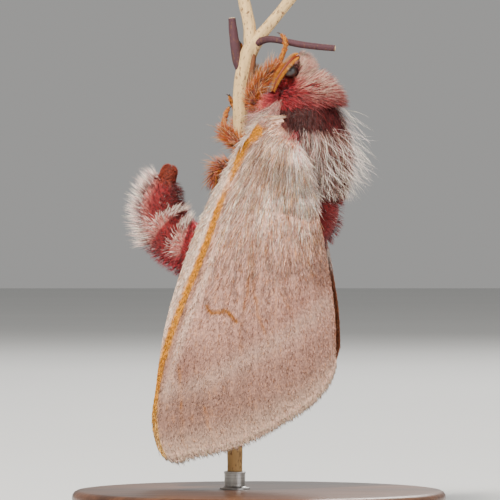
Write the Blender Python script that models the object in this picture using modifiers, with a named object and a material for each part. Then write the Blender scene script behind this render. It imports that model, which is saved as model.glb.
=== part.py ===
"""A life-size tricolor buckmoth that clings head up to a dry stem, on a small display stand.

The stem stands along +Z. The moth is on its +X side, so its belly faces -X and its back faces +X,
and its left side faces -Y. Sizes are in millimetres until a mesh is made, in metres after that.
"""
import math
import random

import bmesh
import bpy
import numpy as np
from mathutils import Vector
from mathutils.bvhtree import BVHTree

MM = 0.001
SEED = 7
GAP = 0.3               # clear space kept between neighbours
SHEET = 0.5             # thickness of a wing

# Stand: the underside of the base is at z = 0
BASE_RADIUS = 20.0
BASE_HEIGHT = 3.0
BASE_EDGE = 0.6
ROD_RADIUS = 1.15
ROD_TOP = 4.4

# Dry stem and its cut side shoots, as (x, y, z, radius)
STEM = [(-2.59, 1.8, ROD_TOP + GAP, 0.80), (-2.53, 1.8, 12.4, 0.79), (-2.37, 1.8, 23.3, 0.78),
        (-2.15, 1.8, 34.1, 0.78), (-1.99, 1.8, 42.8, 0.79), (-1.85, 1.8, 46.4, 0.84),
        (-1.30, 1.8, 49.0, 0.88), (-0.72, 1.8, 50.5, 0.86), (0.34, 1.75, 51.9, 0.66),
        (1.75, 1.7, 53.6, 0.60), (3.60, 1.6, 55.9, 0.58)]
UPRIGHT_SHOOT = [(-0.95, 1.8, 49.6, 0.60), (-0.95, 1.8, 51.4, 0.68), (-1.10, 1.9, 53.1, 0.66),
                 (-1.68, 2.0, 55.9, 0.64)]
PURPLE_SHOOT = [(-1.75, 1.8, 47.4, 0.40), (-2.30, 1.9, 49.0, 0.52), (-2.62, 2.0, 51.0, 0.50),
                (-2.90, 2.1, 53.6, 0.40)]
GRIPPED_TWIG = [(-0.90, 1.7, 50.5, 0.45), (0.25, 1.1, 51.1, 0.40), (1.30, 0.0, 51.25, 0.36),
                (2.95, -1.05, 50.95, 0.35), (4.60, -1.6, 50.6, 0.35), (6.40, -1.9, 50.35, 0.34),
                (8.10, -2.1, 50.2, 0.33)]
BARK_STRIP = [(-0.70, 1.5, 50.2, 0.30), (-0.62, 1.2, 48.9, 0.28), (-0.95, 1.1, 47.0, 0.27),
              (-1.35, 1.3, 44.8, 0.27), (-1.70, 1.6, 42.8, 0.27)]

# Body: centre lines as (x, y, z, radius), from the neck to the tip of the abdomen
THORAX = [(4.05, 0.0, 45.80, 2.30), (4.20, 0.0, 44.60, 3.25), (4.42, 0.0, 43.00, 3.90),
          (4.70, 0.0, 40.90, 4.20), (5.00, 0.0, 38.60, 4.20), (5.27, 0.0, 36.60, 3.85),
          (5.50, 0.0, 35.00, 3.30), (5.62, 0.0, 34.00, 2.90)]
ABDOMEN = [(5.66, 0.00, 33.50, 2.85), (5.76, 0.00, 32.70, 2.84), (5.10, -0.25, 31.20, 2.80),
           (3.10, -0.80, 29.80, 2.70), (0.60, -1.45, 28.80, 2.55), (-2.20, -1.80, 28.20, 2.48),
           (-5.00, -1.80, 28.10, 2.45), (-7.50, -1.70, 28.65, 2.42), (-9.30, -1.55, 29.90, 2.38),
           (-10.35, -1.40, 31.60, 2.30), (-10.60, -1.30, 33.50, 2.10), (-10.20, -1.25, 35.30, 1.60)]
ABDOMEN_LENGTHS = 5
ABDOMEN_RINGS = 5
TIP = [(-10.10, -1.25, 35.62, 1.00), (-9.85, -1.25, 36.30, 0.95), (-9.60, -1.25, 37.00, 0.85),
       (-9.42, -1.25, 37.50, 0.50)]

# Coat: flat tapered locks, rooted in the body and bent along the lie of the hair
LOCK_THICK = 0.55
LOCK_SINK = 0.75        # how far a root lies inside the body
LOCK_BEND = 1.3         # a lock is at its full height before its tip
LOCK_STATIONS = (0.0, 0.28, 0.56, 0.82, 1.0)
LOCK_TAPER = (0.80, 1.00, 0.82, 0.48, 0.0)
LOCK_TRIES = ((1.0, 1.0), (1.0, 0.6), (0.8, 0.8), (0.8, 0.3), (0.6, 0.6), (0.6, 0.2), (0.45, 0.1))
SHORT_LOCK_WIDTH = 0.3  # power of its length by which a shortened lock gets narrower
LENGTH_DRAW = (0.85, 1.12)
WIDTH_DRAW = (0.9, 1.1)
PLACE_DRAW = 4.0        # degrees by which a root is moved at random
THORAX_RINGS = 10
MANE_ROWS = 6           # rows of long hair down the back of the thorax
MANE_SHARES = (0.05, 0.93)  # first and last row, as shares of the thorax
MANE_REACH = 76.0       # degrees that the mane covers, each way from the middle of the back
MANE_STEP = 19.5        # degrees from one lock to the next
MANE_LENGTH = 5.2
MANE_SIDE_CUT = 0.25    # how much shorter the hair is at the edge of the mane
MANE_WIDTH = 1.75
MANE_LIFT = (0.62, 0.32)    # at the neck and at the end of the thorax
MANE_LEAN = 0.25
MANE_SAG = 0.12
COLLAR_SHARE = 0.03     # hair that stands up round the back of the head
COLLAR_REACH = 100.0
COLLAR_STEP = 25.0
COLLAR_LENGTH = 3.0
COLLAR_WIDTH = 1.5
COLLAR_LEAN = 0.75
COLLAR_LIFT = 0.1
SHOULDER_LENGTH = 7.0   # locks that lie over the wing bases
SHOULDER_WIDTH = 1.5
SHOULDER_SHARES = (0.07, 0.16)
SHOULDER_PLACES = (60.0, 73.0, 86.0, 99.0, 112.0)
SHOULDER_FAN = 0.017    # how much each degree turns a lock towards the leading edge
SHOULDER_TURN = 0.42
SHOULDER_OUT = 0.12
SHOULDER_LIFT = 0.1
SHOULDER_GROWTH = (0.80, 0.94)
BREAST_ROWS = 5
BREAST_SHARES = (0.06, 0.90)
BREAST_PLACES = (122.0, 145.0, 168.0, 192.0, 215.0, 238.0)
BREAST_LENGTH = 2.6
BREAST_WIDTH = 1.5
BREAST_LIFT = 0.3
BAND_LOCKS = 7          # locks round each band of the abdomen
BAND_PLACES = (0.30, 0.70)
BAND_LENGTH = 2.3
BAND_WIDTH = 2.0
BAND_LIFT = 0.42
BAND_LEAN = 0.18
LEG_LOCK_LENGTH = 1.5
LEG_LOCK_WIDTH = 0.85
LEG_LOCK_SINK = 0.35
LEG_LOCK_LIFT = 0.4
LEG_LOCK_LEAN = 0.5
LEG_LOCK_PLACES = ((0.16, 200.0), (0.33, 120.0), (0.50, 40.0))
LEG_RINGS = 13

# Head: the face looks up and a little towards the stem
HEAD_CENTRE = (3.75, 0.0, 47.55)
HEAD_AXES = (1.70, 1.75, 1.35)
EYE_CENTRE = (3.30, 1.62, 47.75)
EYE_RADIUS = 0.78
PALP = [(2.75, 0.42, 47.55, 0.30), (2.05, 0.45, 48.00, 0.30), (1.65, 0.45, 48.45, 0.16)]
TUFT_ROWS = ((-60.0, 3), (-25.0, 3), (12.0, 3), (50.0, 2), (88.0, 3))   # degrees from the top, tufts
TUFT_SPREAD = 0.62      # from one tuft of a row to the next
TUFT_LENGTH = 1.7
TUFT_WIDTH = 0.95
TUFT_LIFT = 0.35

# Antenna and legs of the left side, as (x, outward y, z, then half the width or the radius)
ANTENNA = [(4.20, 1.05, 49.20, 0.30), (4.10, 1.85, 49.40, 0.48), (3.50, 2.75, 49.00, 0.66),
           (2.65, 3.35, 48.05, 0.68), (1.90, 3.62, 46.85, 0.58), (1.45, 3.70, 45.60, 0.34)]
ANTENNA_TEETH = 9       # pairs of short side branches
ANTENNA_THICK = 0.5
ANTENNA_FACE = (0.55, 0.75, 0.35)   # outward direction of its flat side
TOOTH_DEPTH = 0.42      # how deep the notch between two branches is, as a share
LEFT_LEGS = {
    "front": [(0.75, 1.55, 43.75, 0.62), (0.05, 1.95, 44.10, 0.60), (-0.65, 2.20, 44.95, 0.52),
              (-0.10, 2.15, 46.00, 0.60), (0.95, 2.00, 47.30, 0.56), (2.00, 1.80, 48.45, 0.34),
              (2.45, 1.95, 49.35, 0.27), (2.80, 2.12, 50.35, 0.27), (2.75, 2.12, 51.20, 0.25),
              (2.30, 1.65, 51.75, 0.12)],
    "middle": [(-0.05, 1.50, 40.60, 0.66), (-0.60, 1.95, 39.90, 0.64), (-1.30, 2.60, 39.30, 0.55),
               (-2.15, 2.55, 39.95, 0.60), (-3.05, 2.10, 40.75, 0.52), (-3.75, 1.45, 41.40, 0.32),
               (-3.80, 0.80, 42.00, 0.27), (-3.62, 0.00, 42.80, 0.27), (-3.48, -0.75, 43.50, 0.24),
               (-3.20, -1.15, 44.00, 0.12)],
    "hind": [(0.85, 1.60, 36.90, 0.68), (-0.90, 2.30, 37.10, 0.70), (-2.90, 2.90, 37.45, 0.62),
             (-4.35, 3.00, 37.50, 0.50), (-4.70, 2.45, 36.50, 0.56), (-4.40, 1.60, 35.30, 0.50),
             (-3.90, 0.80, 34.20, 0.32), (-3.70, 0.10, 33.40, 0.27), (-3.55, -0.70, 32.60, 0.25),
             (-3.30, -1.20, 32.00, 0.12)],
}
RIGHT_LEGS = {
    "front": [(0.65, 1.60, 43.85, 0.60), (0.00, 2.40, 44.40, 0.60), (-0.45, 3.20, 45.20, 0.52),
              (-0.55, 3.45, 46.40, 0.58), (-0.55, 3.50, 47.60, 0.52), (-0.80, 3.35, 48.70, 0.32),
              (-1.20, 3.25, 49.50, 0.27), (-1.75, 3.15, 50.30, 0.26), (-2.05, 2.95, 51.00, 0.12)],
    "middle": [(-0.05, 1.60, 40.60, 0.62), (-0.40, 2.50, 40.10, 0.62), (-1.00, 3.55, 40.20, 0.55),
               (-1.60, 3.75, 41.10, 0.58), (-1.90, 3.75, 42.20, 0.50), (-2.25, 3.40, 43.10, 0.30),
               (-2.55, 3.18, 43.90, 0.27), (-2.95, 2.90, 44.70, 0.25), (-3.20, 2.55, 45.30, 0.12)],
    "hind": [(0.80, 1.75, 36.70, 0.68), (-0.30, 2.60, 37.50, 0.68), (-1.30, 3.70, 38.00, 0.60),
             (-1.80, 4.10, 37.20, 0.52), (-2.10, 3.85, 36.10, 0.52), (-2.30, 3.50, 35.00, 0.32),
             (-2.45, 3.22, 34.10, 0.27), (-2.75, 3.08, 33.10, 0.25), (-3.10, 2.75, 32.40, 0.12)],
}

# Wings, as (x, z) outlines in the plane that the roof leans on
ROOT_FRONT = (2.2, 43.0)
ROOT_BACK = (4.2, 40.2)
APEX = (-9.7, 6.1)
TORNUS = (8.24, 16.3)
COSTA = [ROOT_FRONT, (0.3, 42.6), (-1.3, 40.9), (-2.65, 38.6), (-5.75, 32.9), (-8.35, 26.2),
         (-10.06, 20.1), (-10.95, 14.1), (-11.35, 10.9), (-10.95, 8.2), APEX]
INNER = [ROOT_BACK, (5.6, 36.0), (6.75, 30.3), (7.6, 25.5), (8.1, 21.5), TORNUS]
MARGIN = [APEX, (-8.46, 5.67), (-6.75, 6.1), (-3.43, 6.96), (-0.75, 7.92), (2.78, 9.96),
          (5.57, 11.88), (7.5, 14.2), TORNUS]
HIND_ROOT_FRONT = (2.7, 39.3)
HIND_ROOT_BACK = (4.4, 36.6)
HIND_APEX = (-8.2, 12.6)
HIND_TORNUS = (6.9, 17.3)
HIND_COSTA = [HIND_ROOT_FRONT, (0.5, 38.2), (-2.0, 34.9), (-5.2, 28.8), (-7.6, 21.5), (-8.7, 15.6),
              HIND_APEX]
HIND_INNER = [HIND_ROOT_BACK, (5.4, 32.0), (6.2, 27.5), (6.8, 22.5), HIND_TORNUS]
HIND_MARGIN = [HIND_APEX, (-6.2, 10.0), (-2.6, 9.3), (1.2, 10.9), (4.8, 13.6), HIND_TORNUS]
WING_STEPS = 15         # grid steps from the root to the margin
VEINS = 8               # main veins, each with a valley on both sides
VEIN_HEIGHT = 0.16
VEIN_START = (0.05, 0.20)   # shares of the wing between which the veins rise
HIND_STEPS = 10
HIND_VEINS = 5
HIND_DEPTH = 1.00       # how far the hindwing lies inside the forewing
HIND_START = 0.10       # share of the wing in which it gets that far
STEEPEST = 1.9          # limit of the slope that this depth allows for
LAP_START = (0.15, 0.40)    # shares between which the inner edge moves over to its ridge
LAP_END = 0.90
EDGE_POINTS = 60
PROBE = 0.05            # step over which a slope is measured

# Roof that the wings lean on: how far each wing stands off the middle plane
RIDGE_X = 8.45
FAR_RIDGE_X = 8.95      # the right wing laps over the ridge
RIDGE_HALF_GAP = 0.32
ROOF_SPREAD = 6.4
ROOF_SPREAD_LOW = 4.6
ROOF_RUN = 5.0
ROOF_TOP_Z = 26.0
ROOF_LOW_Z = 8.0
WING_CLEARANCE = 1.85   # from the trunk to the middle of a forewing, with the hindwing between
DRAPE_WIDTH = (1.25, 0.8)   # how wide the bulge over the trunk is: share of its radius, and extra
DRAPE_BLEND = 0.6
ROOT_TILT = 0.62        # extra gap, as the root's end face is tilted
ROOT_REACH = 0.12       # share of the wing in which it leaves the thorax
TRUNK_ROWS = 7          # rows of the abdomen that the wings drape over
WING_EDGE = 1.2         # how far behind a wing's inner edge a lock is still held off it
LOCK_REST = 0.15        # extra height of a lock over the wing, for each step of its row

SHARP_ANGLE = 40.0
CURVE_STEPS = 16        # points that a smooth line is first given between two of its rows
SAME_PLACE = 1e-6       # metres

WING_COLOUR = (0.52, 0.36, 0.30)
HAIR_COLOUR = (0.62, 0.50, 0.46)
RED_COLOUR = (0.38, 0.05, 0.06)
ORANGE_COLOUR = (0.45, 0.15, 0.04)
EYE_COLOUR = (0.03, 0.015, 0.01)
STEM_COLOUR = (0.60, 0.48, 0.30)
BASE_COLOUR = (0.10, 0.06, 0.035)
METAL_COLOUR = (0.55, 0.53, 0.50)

part_collection = None


def clear_file():
    """Remove every object, and make the collection that holds the parts."""
    global part_collection
    for old in list(bpy.data.objects):
        bpy.data.objects.remove(old)
    part_collection = bpy.data.collections.new("tricolor_buckmoth")
    bpy.context.scene.collection.children.link(part_collection)


def material(name, colour, roughness, metallic=0.0):
    """A Principled material, made once for each name."""
    made = bpy.data.materials.get(name)
    if made:
        return made
    made = bpy.data.materials.new(name)
    made.use_nodes = True
    shader = made.node_tree.nodes["Principled BSDF"]
    shader.inputs["Base Color"].default_value = (*colour, 1.0)
    shader.inputs["Roughness"].default_value = roughness
    shader.inputs["Metallic"].default_value = metallic
    return made


def object_from_bmesh(name, shape, finish, smooth=True):
    """Link a finished mesh as a named object, with its faces turned outward."""
    bmesh.ops.recalc_face_normals(shape, faces=shape.faces)
    mesh = bpy.data.meshes.new(name)
    shape.to_mesh(mesh)
    shape.free()
    if smooth:
        mesh.shade_smooth()
        mesh.set_sharp_from_angle(angle=math.radians(SHARP_ANGLE))
    if finish:
        mesh.materials.append(finish)
    made = bpy.data.objects.new(name, mesh)
    part_collection.objects.link(made)
    return made


def smooth_line(points, count):
    """Rows at even steps along a smooth curve through the given rows."""
    rows = np.array(points, dtype=float)
    padded = np.vstack([2.0 * rows[0] - rows[1], rows, 2.0 * rows[-1] - rows[-2]])
    dense = []
    for start in range(len(rows) - 1):
        before, here, there, after = padded[start:start + 4]
        for t in np.linspace(0.0, 1.0, CURVE_STEPS, endpoint=False):
            dense.append(0.5 * (2.0 * here + (there - before) * t
                                + (2.0 * before - 5.0 * here + 4.0 * there - after) * t ** 2
                                + (3.0 * here - before - 3.0 * there + after) * t ** 3))
    dense.append(rows[-1])
    dense = np.array(dense)
    steps = np.linalg.norm(np.diff(dense[:, :min(3, dense.shape[1])], axis=0), axis=1)
    along = np.concatenate([[0.0], np.cumsum(steps)])
    wanted = np.linspace(0.0, along[-1], count)
    return np.column_stack([np.interp(wanted, along, dense[:, k]) for k in range(dense.shape[1])])


def tube(name, rows, finish, resolution=2):
    """A round bar of varying radius through rows of (x, y, z, radius), as a closed mesh."""
    curve = bpy.data.curves.new(name, "CURVE")
    curve.dimensions = "3D"
    curve.bevel_depth = 1.0
    curve.bevel_resolution = resolution
    curve.use_fill_caps = True
    spline = curve.splines.new("POLY")
    spline.points.add(len(rows) - 1)
    for point, row in zip(spline.points, rows):
        point.co = (row[0] * MM, row[1] * MM, row[2] * MM, 1.0)
        point.radius = row[3] * MM
    bar = bpy.data.objects.new(name + "_line", curve)
    part_collection.objects.link(bar)
    evaluated = bar.evaluated_get(bpy.context.evaluated_depsgraph_get())
    mesh = bpy.data.meshes.new_from_object(evaluated)
    shape = bmesh.new()
    shape.from_mesh(mesh)
    shape.transform(bar.matrix_world)
    bmesh.ops.remove_doubles(shape, verts=shape.verts, dist=SAME_PLACE)
    bpy.data.objects.remove(bar)
    bpy.data.meshes.remove(mesh)
    return object_from_bmesh(name, shape, finish)


def ball(name, centre, axes, finish, segments=16, rings=10):
    """An ellipsoid on the three main axes."""
    shape = bmesh.new()
    bmesh.ops.create_uvsphere(shape, u_segments=segments, v_segments=rings, radius=1.0)
    for vert in shape.verts:
        vert.co = Vector([(vert.co[k] * axes[k] + centre[k]) * MM for k in range(3)])
    return object_from_bmesh(name, shape, finish)


def apply_boolean(target, operation, pieces, solver="EXACT"):
    """Join pieces to a target, or cut them from it, in one step, and remove them."""
    group = bpy.data.collections.new(target.name + "_" + operation.lower())
    bpy.context.scene.collection.children.link(group)
    for piece in pieces:
        part_collection.objects.unlink(piece)
        group.objects.link(piece)
    modifier = target.modifiers.new("join", "BOOLEAN")
    modifier.operation = operation
    modifier.operand_type = "COLLECTION"
    modifier.collection = group
    modifier.solver = solver
    with bpy.context.temp_override(object=target, active_object=target, selected_objects=[target]):
        bpy.ops.object.modifier_apply(modifier="join")
    for piece in pieces:
        bpy.data.objects.remove(piece)
    bpy.data.collections.remove(group)
    keep_largest(target)


def keep_largest(target):
    """Keep the largest closed surface of a mesh."""
    shape = bmesh.new()
    shape.from_mesh(target.data)
    unseen = set(shape.verts)
    islands = []
    while unseen:
        stack = [unseen.pop()]
        island = []
        while stack:
            vert = stack.pop()
            island.append(vert)
            for edge in vert.link_edges:
                other = edge.other_vert(vert)
                if other in unseen:
                    unseen.discard(other)
                    stack.append(other)
        islands.append(island)
    islands.sort(key=len)
    for island in islands[:-1]:
        bmesh.ops.delete(shape, geom=island, context="VERTS")
    shape.to_mesh(target.data)
    shape.free()


def unit(vector):
    """A vector scaled to length 1."""
    return vector / np.linalg.norm(vector)


def lock_line(root, out, lie, length, lift, sag, sink=LOCK_SINK):
    """Points along a lock, which leaves the skin along out and bends over to its lie."""
    line = []
    for t in LOCK_STATIONS:
        rise = lift * length * math.sin(0.5 * math.pi * min(LOCK_BEND * t, 1.0)) - sink * (1.0 - t) ** 3
        point = root + lie * (length * t) + out * rise
        line.append(point + np.array([0.0, 0.0, -sag * length * t * t]))
    return np.array(line)


def vane_mesh(name, line, out, halves, thicks, finish):
    """A flat blade as a loft of four-sided rings round its line, closed by a flat root and a point."""
    shape = bmesh.new()
    rings = []
    for index, point in enumerate(line[:-1]):
        ahead = unit(line[index + 1] - line[max(index - 1, 0)])
        across = unit(np.cross(ahead, out))
        half = halves[index] * across
        thick = 0.5 * thicks[index] * np.cross(across, ahead)
        corners = [point + half, point + thick, point - half, point - thick]
        rings.append([shape.verts.new(corner * MM) for corner in corners])
    for lower, upper in zip(rings, rings[1:]):
        for k in range(4):
            shape.faces.new((lower[k], lower[(k + 1) % 4], upper[(k + 1) % 4], upper[k]))
    tip = shape.verts.new(line[-1] * MM)
    for k in range(4):
        shape.faces.new((rings[-1][k], rings[-1][(k + 1) % 4], tip))
    shape.faces.new(rings[0])
    bmesh.ops.triangulate(shape, faces=shape.faces)
    return object_from_bmesh(name, shape, finish)


def lock_mesh(name, line, out, width):
    """A lock: a blade that swells a little after its root and runs out to a point."""
    halves = [0.5 * width * taper for taper in LOCK_TAPER]
    thicks = [LOCK_THICK * min(1.0, 1.25 * taper) for taper in LOCK_TAPER]
    return vane_mesh(name, line, out, halves, thicks, None)


def tree_of(target):
    """A search tree of an object's evaluated mesh, in millimetres, with its lowest and highest corners."""
    evaluated = target.evaluated_get(bpy.context.evaluated_depsgraph_get())
    mesh = evaluated.to_mesh()
    places = np.array([target.matrix_world @ vert.co for vert in mesh.vertices]) / MM
    faces = [tuple(face.vertices) for face in mesh.polygons]
    evaluated.to_mesh_clear()
    return BVHTree.FromPolygons(places.tolist(), faces), places.min(axis=0), places.max(axis=0)


def is_clear(piece, trees):
    """True where a lock keeps its gap to every neighbour."""
    places = np.array([vert.co for vert in piece.data.vertices]) / MM
    faces = [tuple(face.vertices) for face in piece.data.polygons]
    own = BVHTree.FromPolygons(places.tolist(), faces)
    middles = [0.5 * (places[edge.vertices[0]] + places[edge.vertices[1]]) for edge in piece.data.edges]
    samples = np.vstack([places, middles])
    low = samples.min(axis=0) - GAP
    high = samples.max(axis=0) + GAP
    for tree, least, most in trees:
        if (low > most).any() or (high < least).any():
            continue
        if tree.overlap(own):
            return False
        if any(tree.find_nearest(sample, GAP)[0] is not None for sample in samples):
            return False
    return True


def grow(core, locks, neighbours, pieces=()):
    """Fuse a core with its locks, each as long and raised as its neighbours leave room for."""
    trees = [tree_of(neighbour) for neighbour in neighbours]
    pieces = list(pieces)
    for number, (line_of, out, width) in enumerate(locks):
        for share, raised in LOCK_TRIES:
            narrowed = width * share ** SHORT_LOCK_WIDTH
            piece = lock_mesh(f"{core.name}_lock_{number}", line_of(share, raised), out, narrowed)
            if is_clear(piece, trees):
                pieces.append(piece)
                break
            bpy.data.objects.remove(piece)
    apply_boolean(core, "UNION", pieces)


def smooth_step(value, low, high):
    """0 below low, 1 above high, and an even S between them."""
    t = np.clip((value - low) / (high - low), 0.0, 1.0)
    return t * t * (3.0 - 2.0 * t)


def roof(x, z, ridge_x):
    """How far the roof of one wing stands off the middle plane."""
    spread = ROOF_SPREAD_LOW + (ROOF_SPREAD - ROOF_SPREAD_LOW) * smooth_step(z, ROOF_LOW_Z, ROOF_TOP_Z)
    run = np.maximum(ridge_x - x, 0.0)
    return RIDGE_HALF_GAP + spread * (1.0 - np.exp(-run / ROOF_RUN))


def trunk_cover(x, z):
    """How far a forewing has to stand off the middle plane to drape over thorax and abdomen."""
    cover = np.zeros_like(x)
    share, extra = DRAPE_WIDTH
    for row in THORAX + ABDOMEN[:TRUNK_ROWS]:
        away = np.hypot(x - row[0], z - row[2]) / (share * row[3] + extra)
        cover = np.maximum(cover, (abs(row[1]) + row[3] + WING_CLEARANCE) * np.exp(-away ** 4))
    return cover


def draped_offset(x, z, ridge_x):
    """How far a forewing's middle stands off the middle plane, by the roof or by a wider trunk."""
    lean = roof(x, z, ridge_x)
    wide = trunk_cover(x, z)
    return 0.5 * (lean + wide + np.sqrt((lean - wide) ** 2 + DRAPE_BLEND))


def thorax_side(x, z):
    """Half the width of the thorax core at a place."""
    rows = np.array(THORAX)
    order = np.argsort(rows[:, 2])
    centre = np.interp(z, rows[order, 2], rows[order, 0])
    radius = np.interp(z, rows[order, 2], rows[order, 3])
    return np.sqrt(np.maximum(radius ** 2 - (x - centre) ** 2, 0.0))


def wing_offset(x, z, along, ridge_x):
    """The draped offset, drawn in to the thorax at the wing's root."""
    rooted = thorax_side(x, z) + GAP + ROOT_TILT
    draped = draped_offset(x, z, ridge_x)
    return rooted + (draped - rooted) * smooth_step(along, 0.0, ROOT_REACH)


def patch(u, v, costa, inner, margin):
    """The place (x, z) on a wing between its two long edges and its outer margin."""
    front = np.column_stack([np.interp(u, np.linspace(0, 1, len(costa)), costa[:, k]) for k in (0, 1)])
    back = np.column_stack([np.interp(u, np.linspace(0, 1, len(inner)), inner[:, k]) for k in (0, 1)])
    outer = np.column_stack([np.interp(v, np.linspace(0, 1, len(margin)), margin[:, k]) for k in (0, 1)])
    u = u[:, None]
    v = v[:, None]
    root = (1.0 - v) * costa[0] + v * inner[0]
    corners = ((1.0 - u) * (1.0 - v) * costa[0] + (1.0 - u) * v * inner[0]
               + u * (1.0 - v) * costa[-1] + u * v * inner[-1])
    return (1.0 - v) * front + v * back + (1.0 - u) * root + u * outer - corners


def wing(name, outline, steps, veins, side, depth, ridge_x, finish):
    """A wing as a grid that is laid on the roof, with raised veins, and given its thickness."""
    costa, inner, margin = [smooth_line(points, EDGE_POINTS) for points in outline]
    lap = ridge_x - RIDGE_X
    shape = bmesh.new()
    bmesh.ops.create_grid(shape, x_segments=steps, y_segments=2 * veins + 2, size=1.0)
    verts = list(shape.verts)
    u = np.array([0.5 * (vert.co.x + 1.0) for vert in verts])
    v = np.array([0.5 * (vert.co.y + 1.0) for vert in verts])
    places = patch(u, v, costa, inner, margin)
    x = places[:, 0] + lap * v ** 2 * smooth_step(u, *LAP_START) * (1.0 - smooth_step(u, LAP_END, 1.0))
    z = places[:, 1]
    middle = wing_offset(x, z, u, ridge_x)
    slope_x = (wing_offset(x + PROBE, z, u, ridge_x) - middle) / PROBE
    slope_z = (wing_offset(x, z + PROBE, u, ridge_x) - middle) / PROBE
    steepness = np.sqrt(1.0 + slope_x ** 2 + slope_z ** 2)
    offset = middle - depth * np.minimum(steepness, STEEPEST) * smooth_step(u, 0.0, HIND_START)
    ridges = 0.5 - 0.5 * np.cos(2.0 * math.pi * v * (veins + 1))
    offset = offset + VEIN_HEIGHT * ridges * smooth_step(u, *VEIN_START)
    for vert, px, py, pz in zip(verts, x, offset, z):
        vert.co = Vector((px * MM, side * py * MM, pz * MM))
    bmesh.ops.triangulate(shape, faces=shape.faces)
    made = object_from_bmesh(name, shape, finish)
    thick = made.modifiers.new("thickness", "SOLIDIFY")
    thick.thickness = SHEET * MM
    thick.offset = 0.0
    return made


def build_stand():
    """The round base, and the short rod under the cut stem."""
    shape = bmesh.new()
    bmesh.ops.create_cone(shape, cap_ends=True, segments=32, radius1=BASE_RADIUS * MM,
                          radius2=BASE_RADIUS * MM, depth=BASE_HEIGHT * MM)
    bmesh.ops.translate(shape, verts=shape.verts, vec=(0.0, 0.0, 0.5 * BASE_HEIGHT * MM))
    base = object_from_bmesh("stand_base", shape, material("base_wood", BASE_COLOUR, 0.35))
    edge = base.modifiers.new("edge", "BEVEL")
    edge.width = BASE_EDGE * MM
    edge.segments = 1
    edge.limit_method = "ANGLE"
    x, y = STEM[0][:2]
    rows = [(x, y, BASE_HEIGHT + GAP, ROD_RADIUS), (x, y, ROD_TOP, ROD_RADIUS)]
    tube("stand_rod", rows, material("rod_metal", METAL_COLOUR, 0.3, 1.0), 4)


def build_perch():
    """The cut stem, with the short ends of its side shoots and the twig that a foreleg grips."""
    bark = material("stem_bark", STEM_COLOUR, 0.8)
    stem = tube("perch_stem", smooth_line(STEM, 17), bark)
    shoots = []
    for number, rows in enumerate((UPRIGHT_SHOOT, PURPLE_SHOOT, GRIPPED_TWIG, BARK_STRIP)):
        shoots.append(tube(f"shoot_{number}", smooth_line(rows, 6), bark))
    apply_boolean(stem, "UNION", shoots)


def direction_at(rows, index):
    """The unit direction of a centre line at one of its rows."""
    ahead = rows[min(index + 1, len(rows) - 1), :3] - rows[max(index - 1, 0), :3]
    return ahead / np.linalg.norm(ahead)


def parted_length(rows, first, last):
    """The rows of one length, squared off at both ends half a gap short of its neighbours."""
    length = rows[first:last + 1].copy()
    head_end = direction_at(rows, first) * 0.5 * GAP
    tail_end = direction_at(rows, last) * 0.5 * GAP
    collars = np.array([length[0], length[0], length[-1], length[-1]])
    collars[0, :3] += head_end
    collars[1, :3] += 3.0 * head_end
    collars[2, :3] -= 3.0 * tail_end
    collars[3, :3] -= tail_end
    return np.vstack([collars[:2], length[1:-1], collars[2:]])


def skin_place(rows, share, degrees):
    """A place on a body's surface, its outward and backward directions. 0 degrees is the back, 90 the left."""
    at = share * (len(rows) - 1)
    index = min(int(at), len(rows) - 2)
    row = rows[index] + (rows[index + 1] - rows[index]) * (at - index)
    back = unit(rows[index + 1, :3] - rows[index, :3])
    left = unit(np.array([0.0, -1.0, 0.0]) + back * back[1])
    dorsal = np.cross(left, back)
    turn = math.radians(degrees)
    out = math.cos(turn) * dorsal + math.sin(turn) * left
    return row[:3] + out * row[3], out, back


def over_wing(line, margin, side, rows_up):
    """Lift the free part of a lock so that it lies on the outside of the forewing, over rows_up others."""
    edge = np.interp(line[:, 2], margin[:, 1], margin[:, 0])
    inside = smooth_step(edge + WING_EDGE - line[:, 0], 0.0, 1.0)
    outer_face = draped_offset(line[:, 0], line[:, 2], RIDGE_X) + 0.5 * SHEET + VEIN_HEIGHT
    need = outer_face + GAP + 0.5 * LOCK_THICK + LOCK_REST * rows_up
    raised = line.copy()
    raised[1:, 1] = side * np.maximum(side * line[1:, 1], (need * inside)[1:])
    return raised


def share_of(limits, row, rows):
    """The place of a row between two limits."""
    return limits[0] + (limits[1] - limits[0]) * row / (rows - 1)


def mane_locks(rows, margin, draw):
    """Long hair down the back of the thorax, which stands out near the neck and lies down further back."""
    locks = []
    count = int(MANE_REACH / MANE_STEP)
    for row in range(MANE_ROWS):
        share = share_of(MANE_SHARES, row, MANE_ROWS)
        for place in range(-count, count + 1):
            degrees = (place + 0.5 * (row % 2)) * MANE_STEP + draw.uniform(-PLACE_DRAW, PLACE_DRAW)
            root, out, back = skin_place(rows, share, degrees)
            cut = 1.0 - MANE_SIDE_CUT * abs(degrees) / MANE_REACH
            length = MANE_LENGTH * cut * draw.uniform(*LENGTH_DRAW)
            lift = share_of(MANE_LIFT, row, MANE_ROWS) * draw.uniform(*LENGTH_DRAW)
            side = 1.0 if root[1] > 0.0 else -1.0

            def line_of(part, raised, root=root, out=out, back=back, length=length, lift=lift, side=side):
                lie = unit(back + MANE_LEAN * out)
                line = lock_line(root, out, lie, length * part, lift * raised, MANE_SAG)
                return over_wing(line, margin, side, 2.0 - raised)
            locks.append((line_of, out, MANE_WIDTH * draw.uniform(*WIDTH_DRAW)))
    return locks


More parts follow.
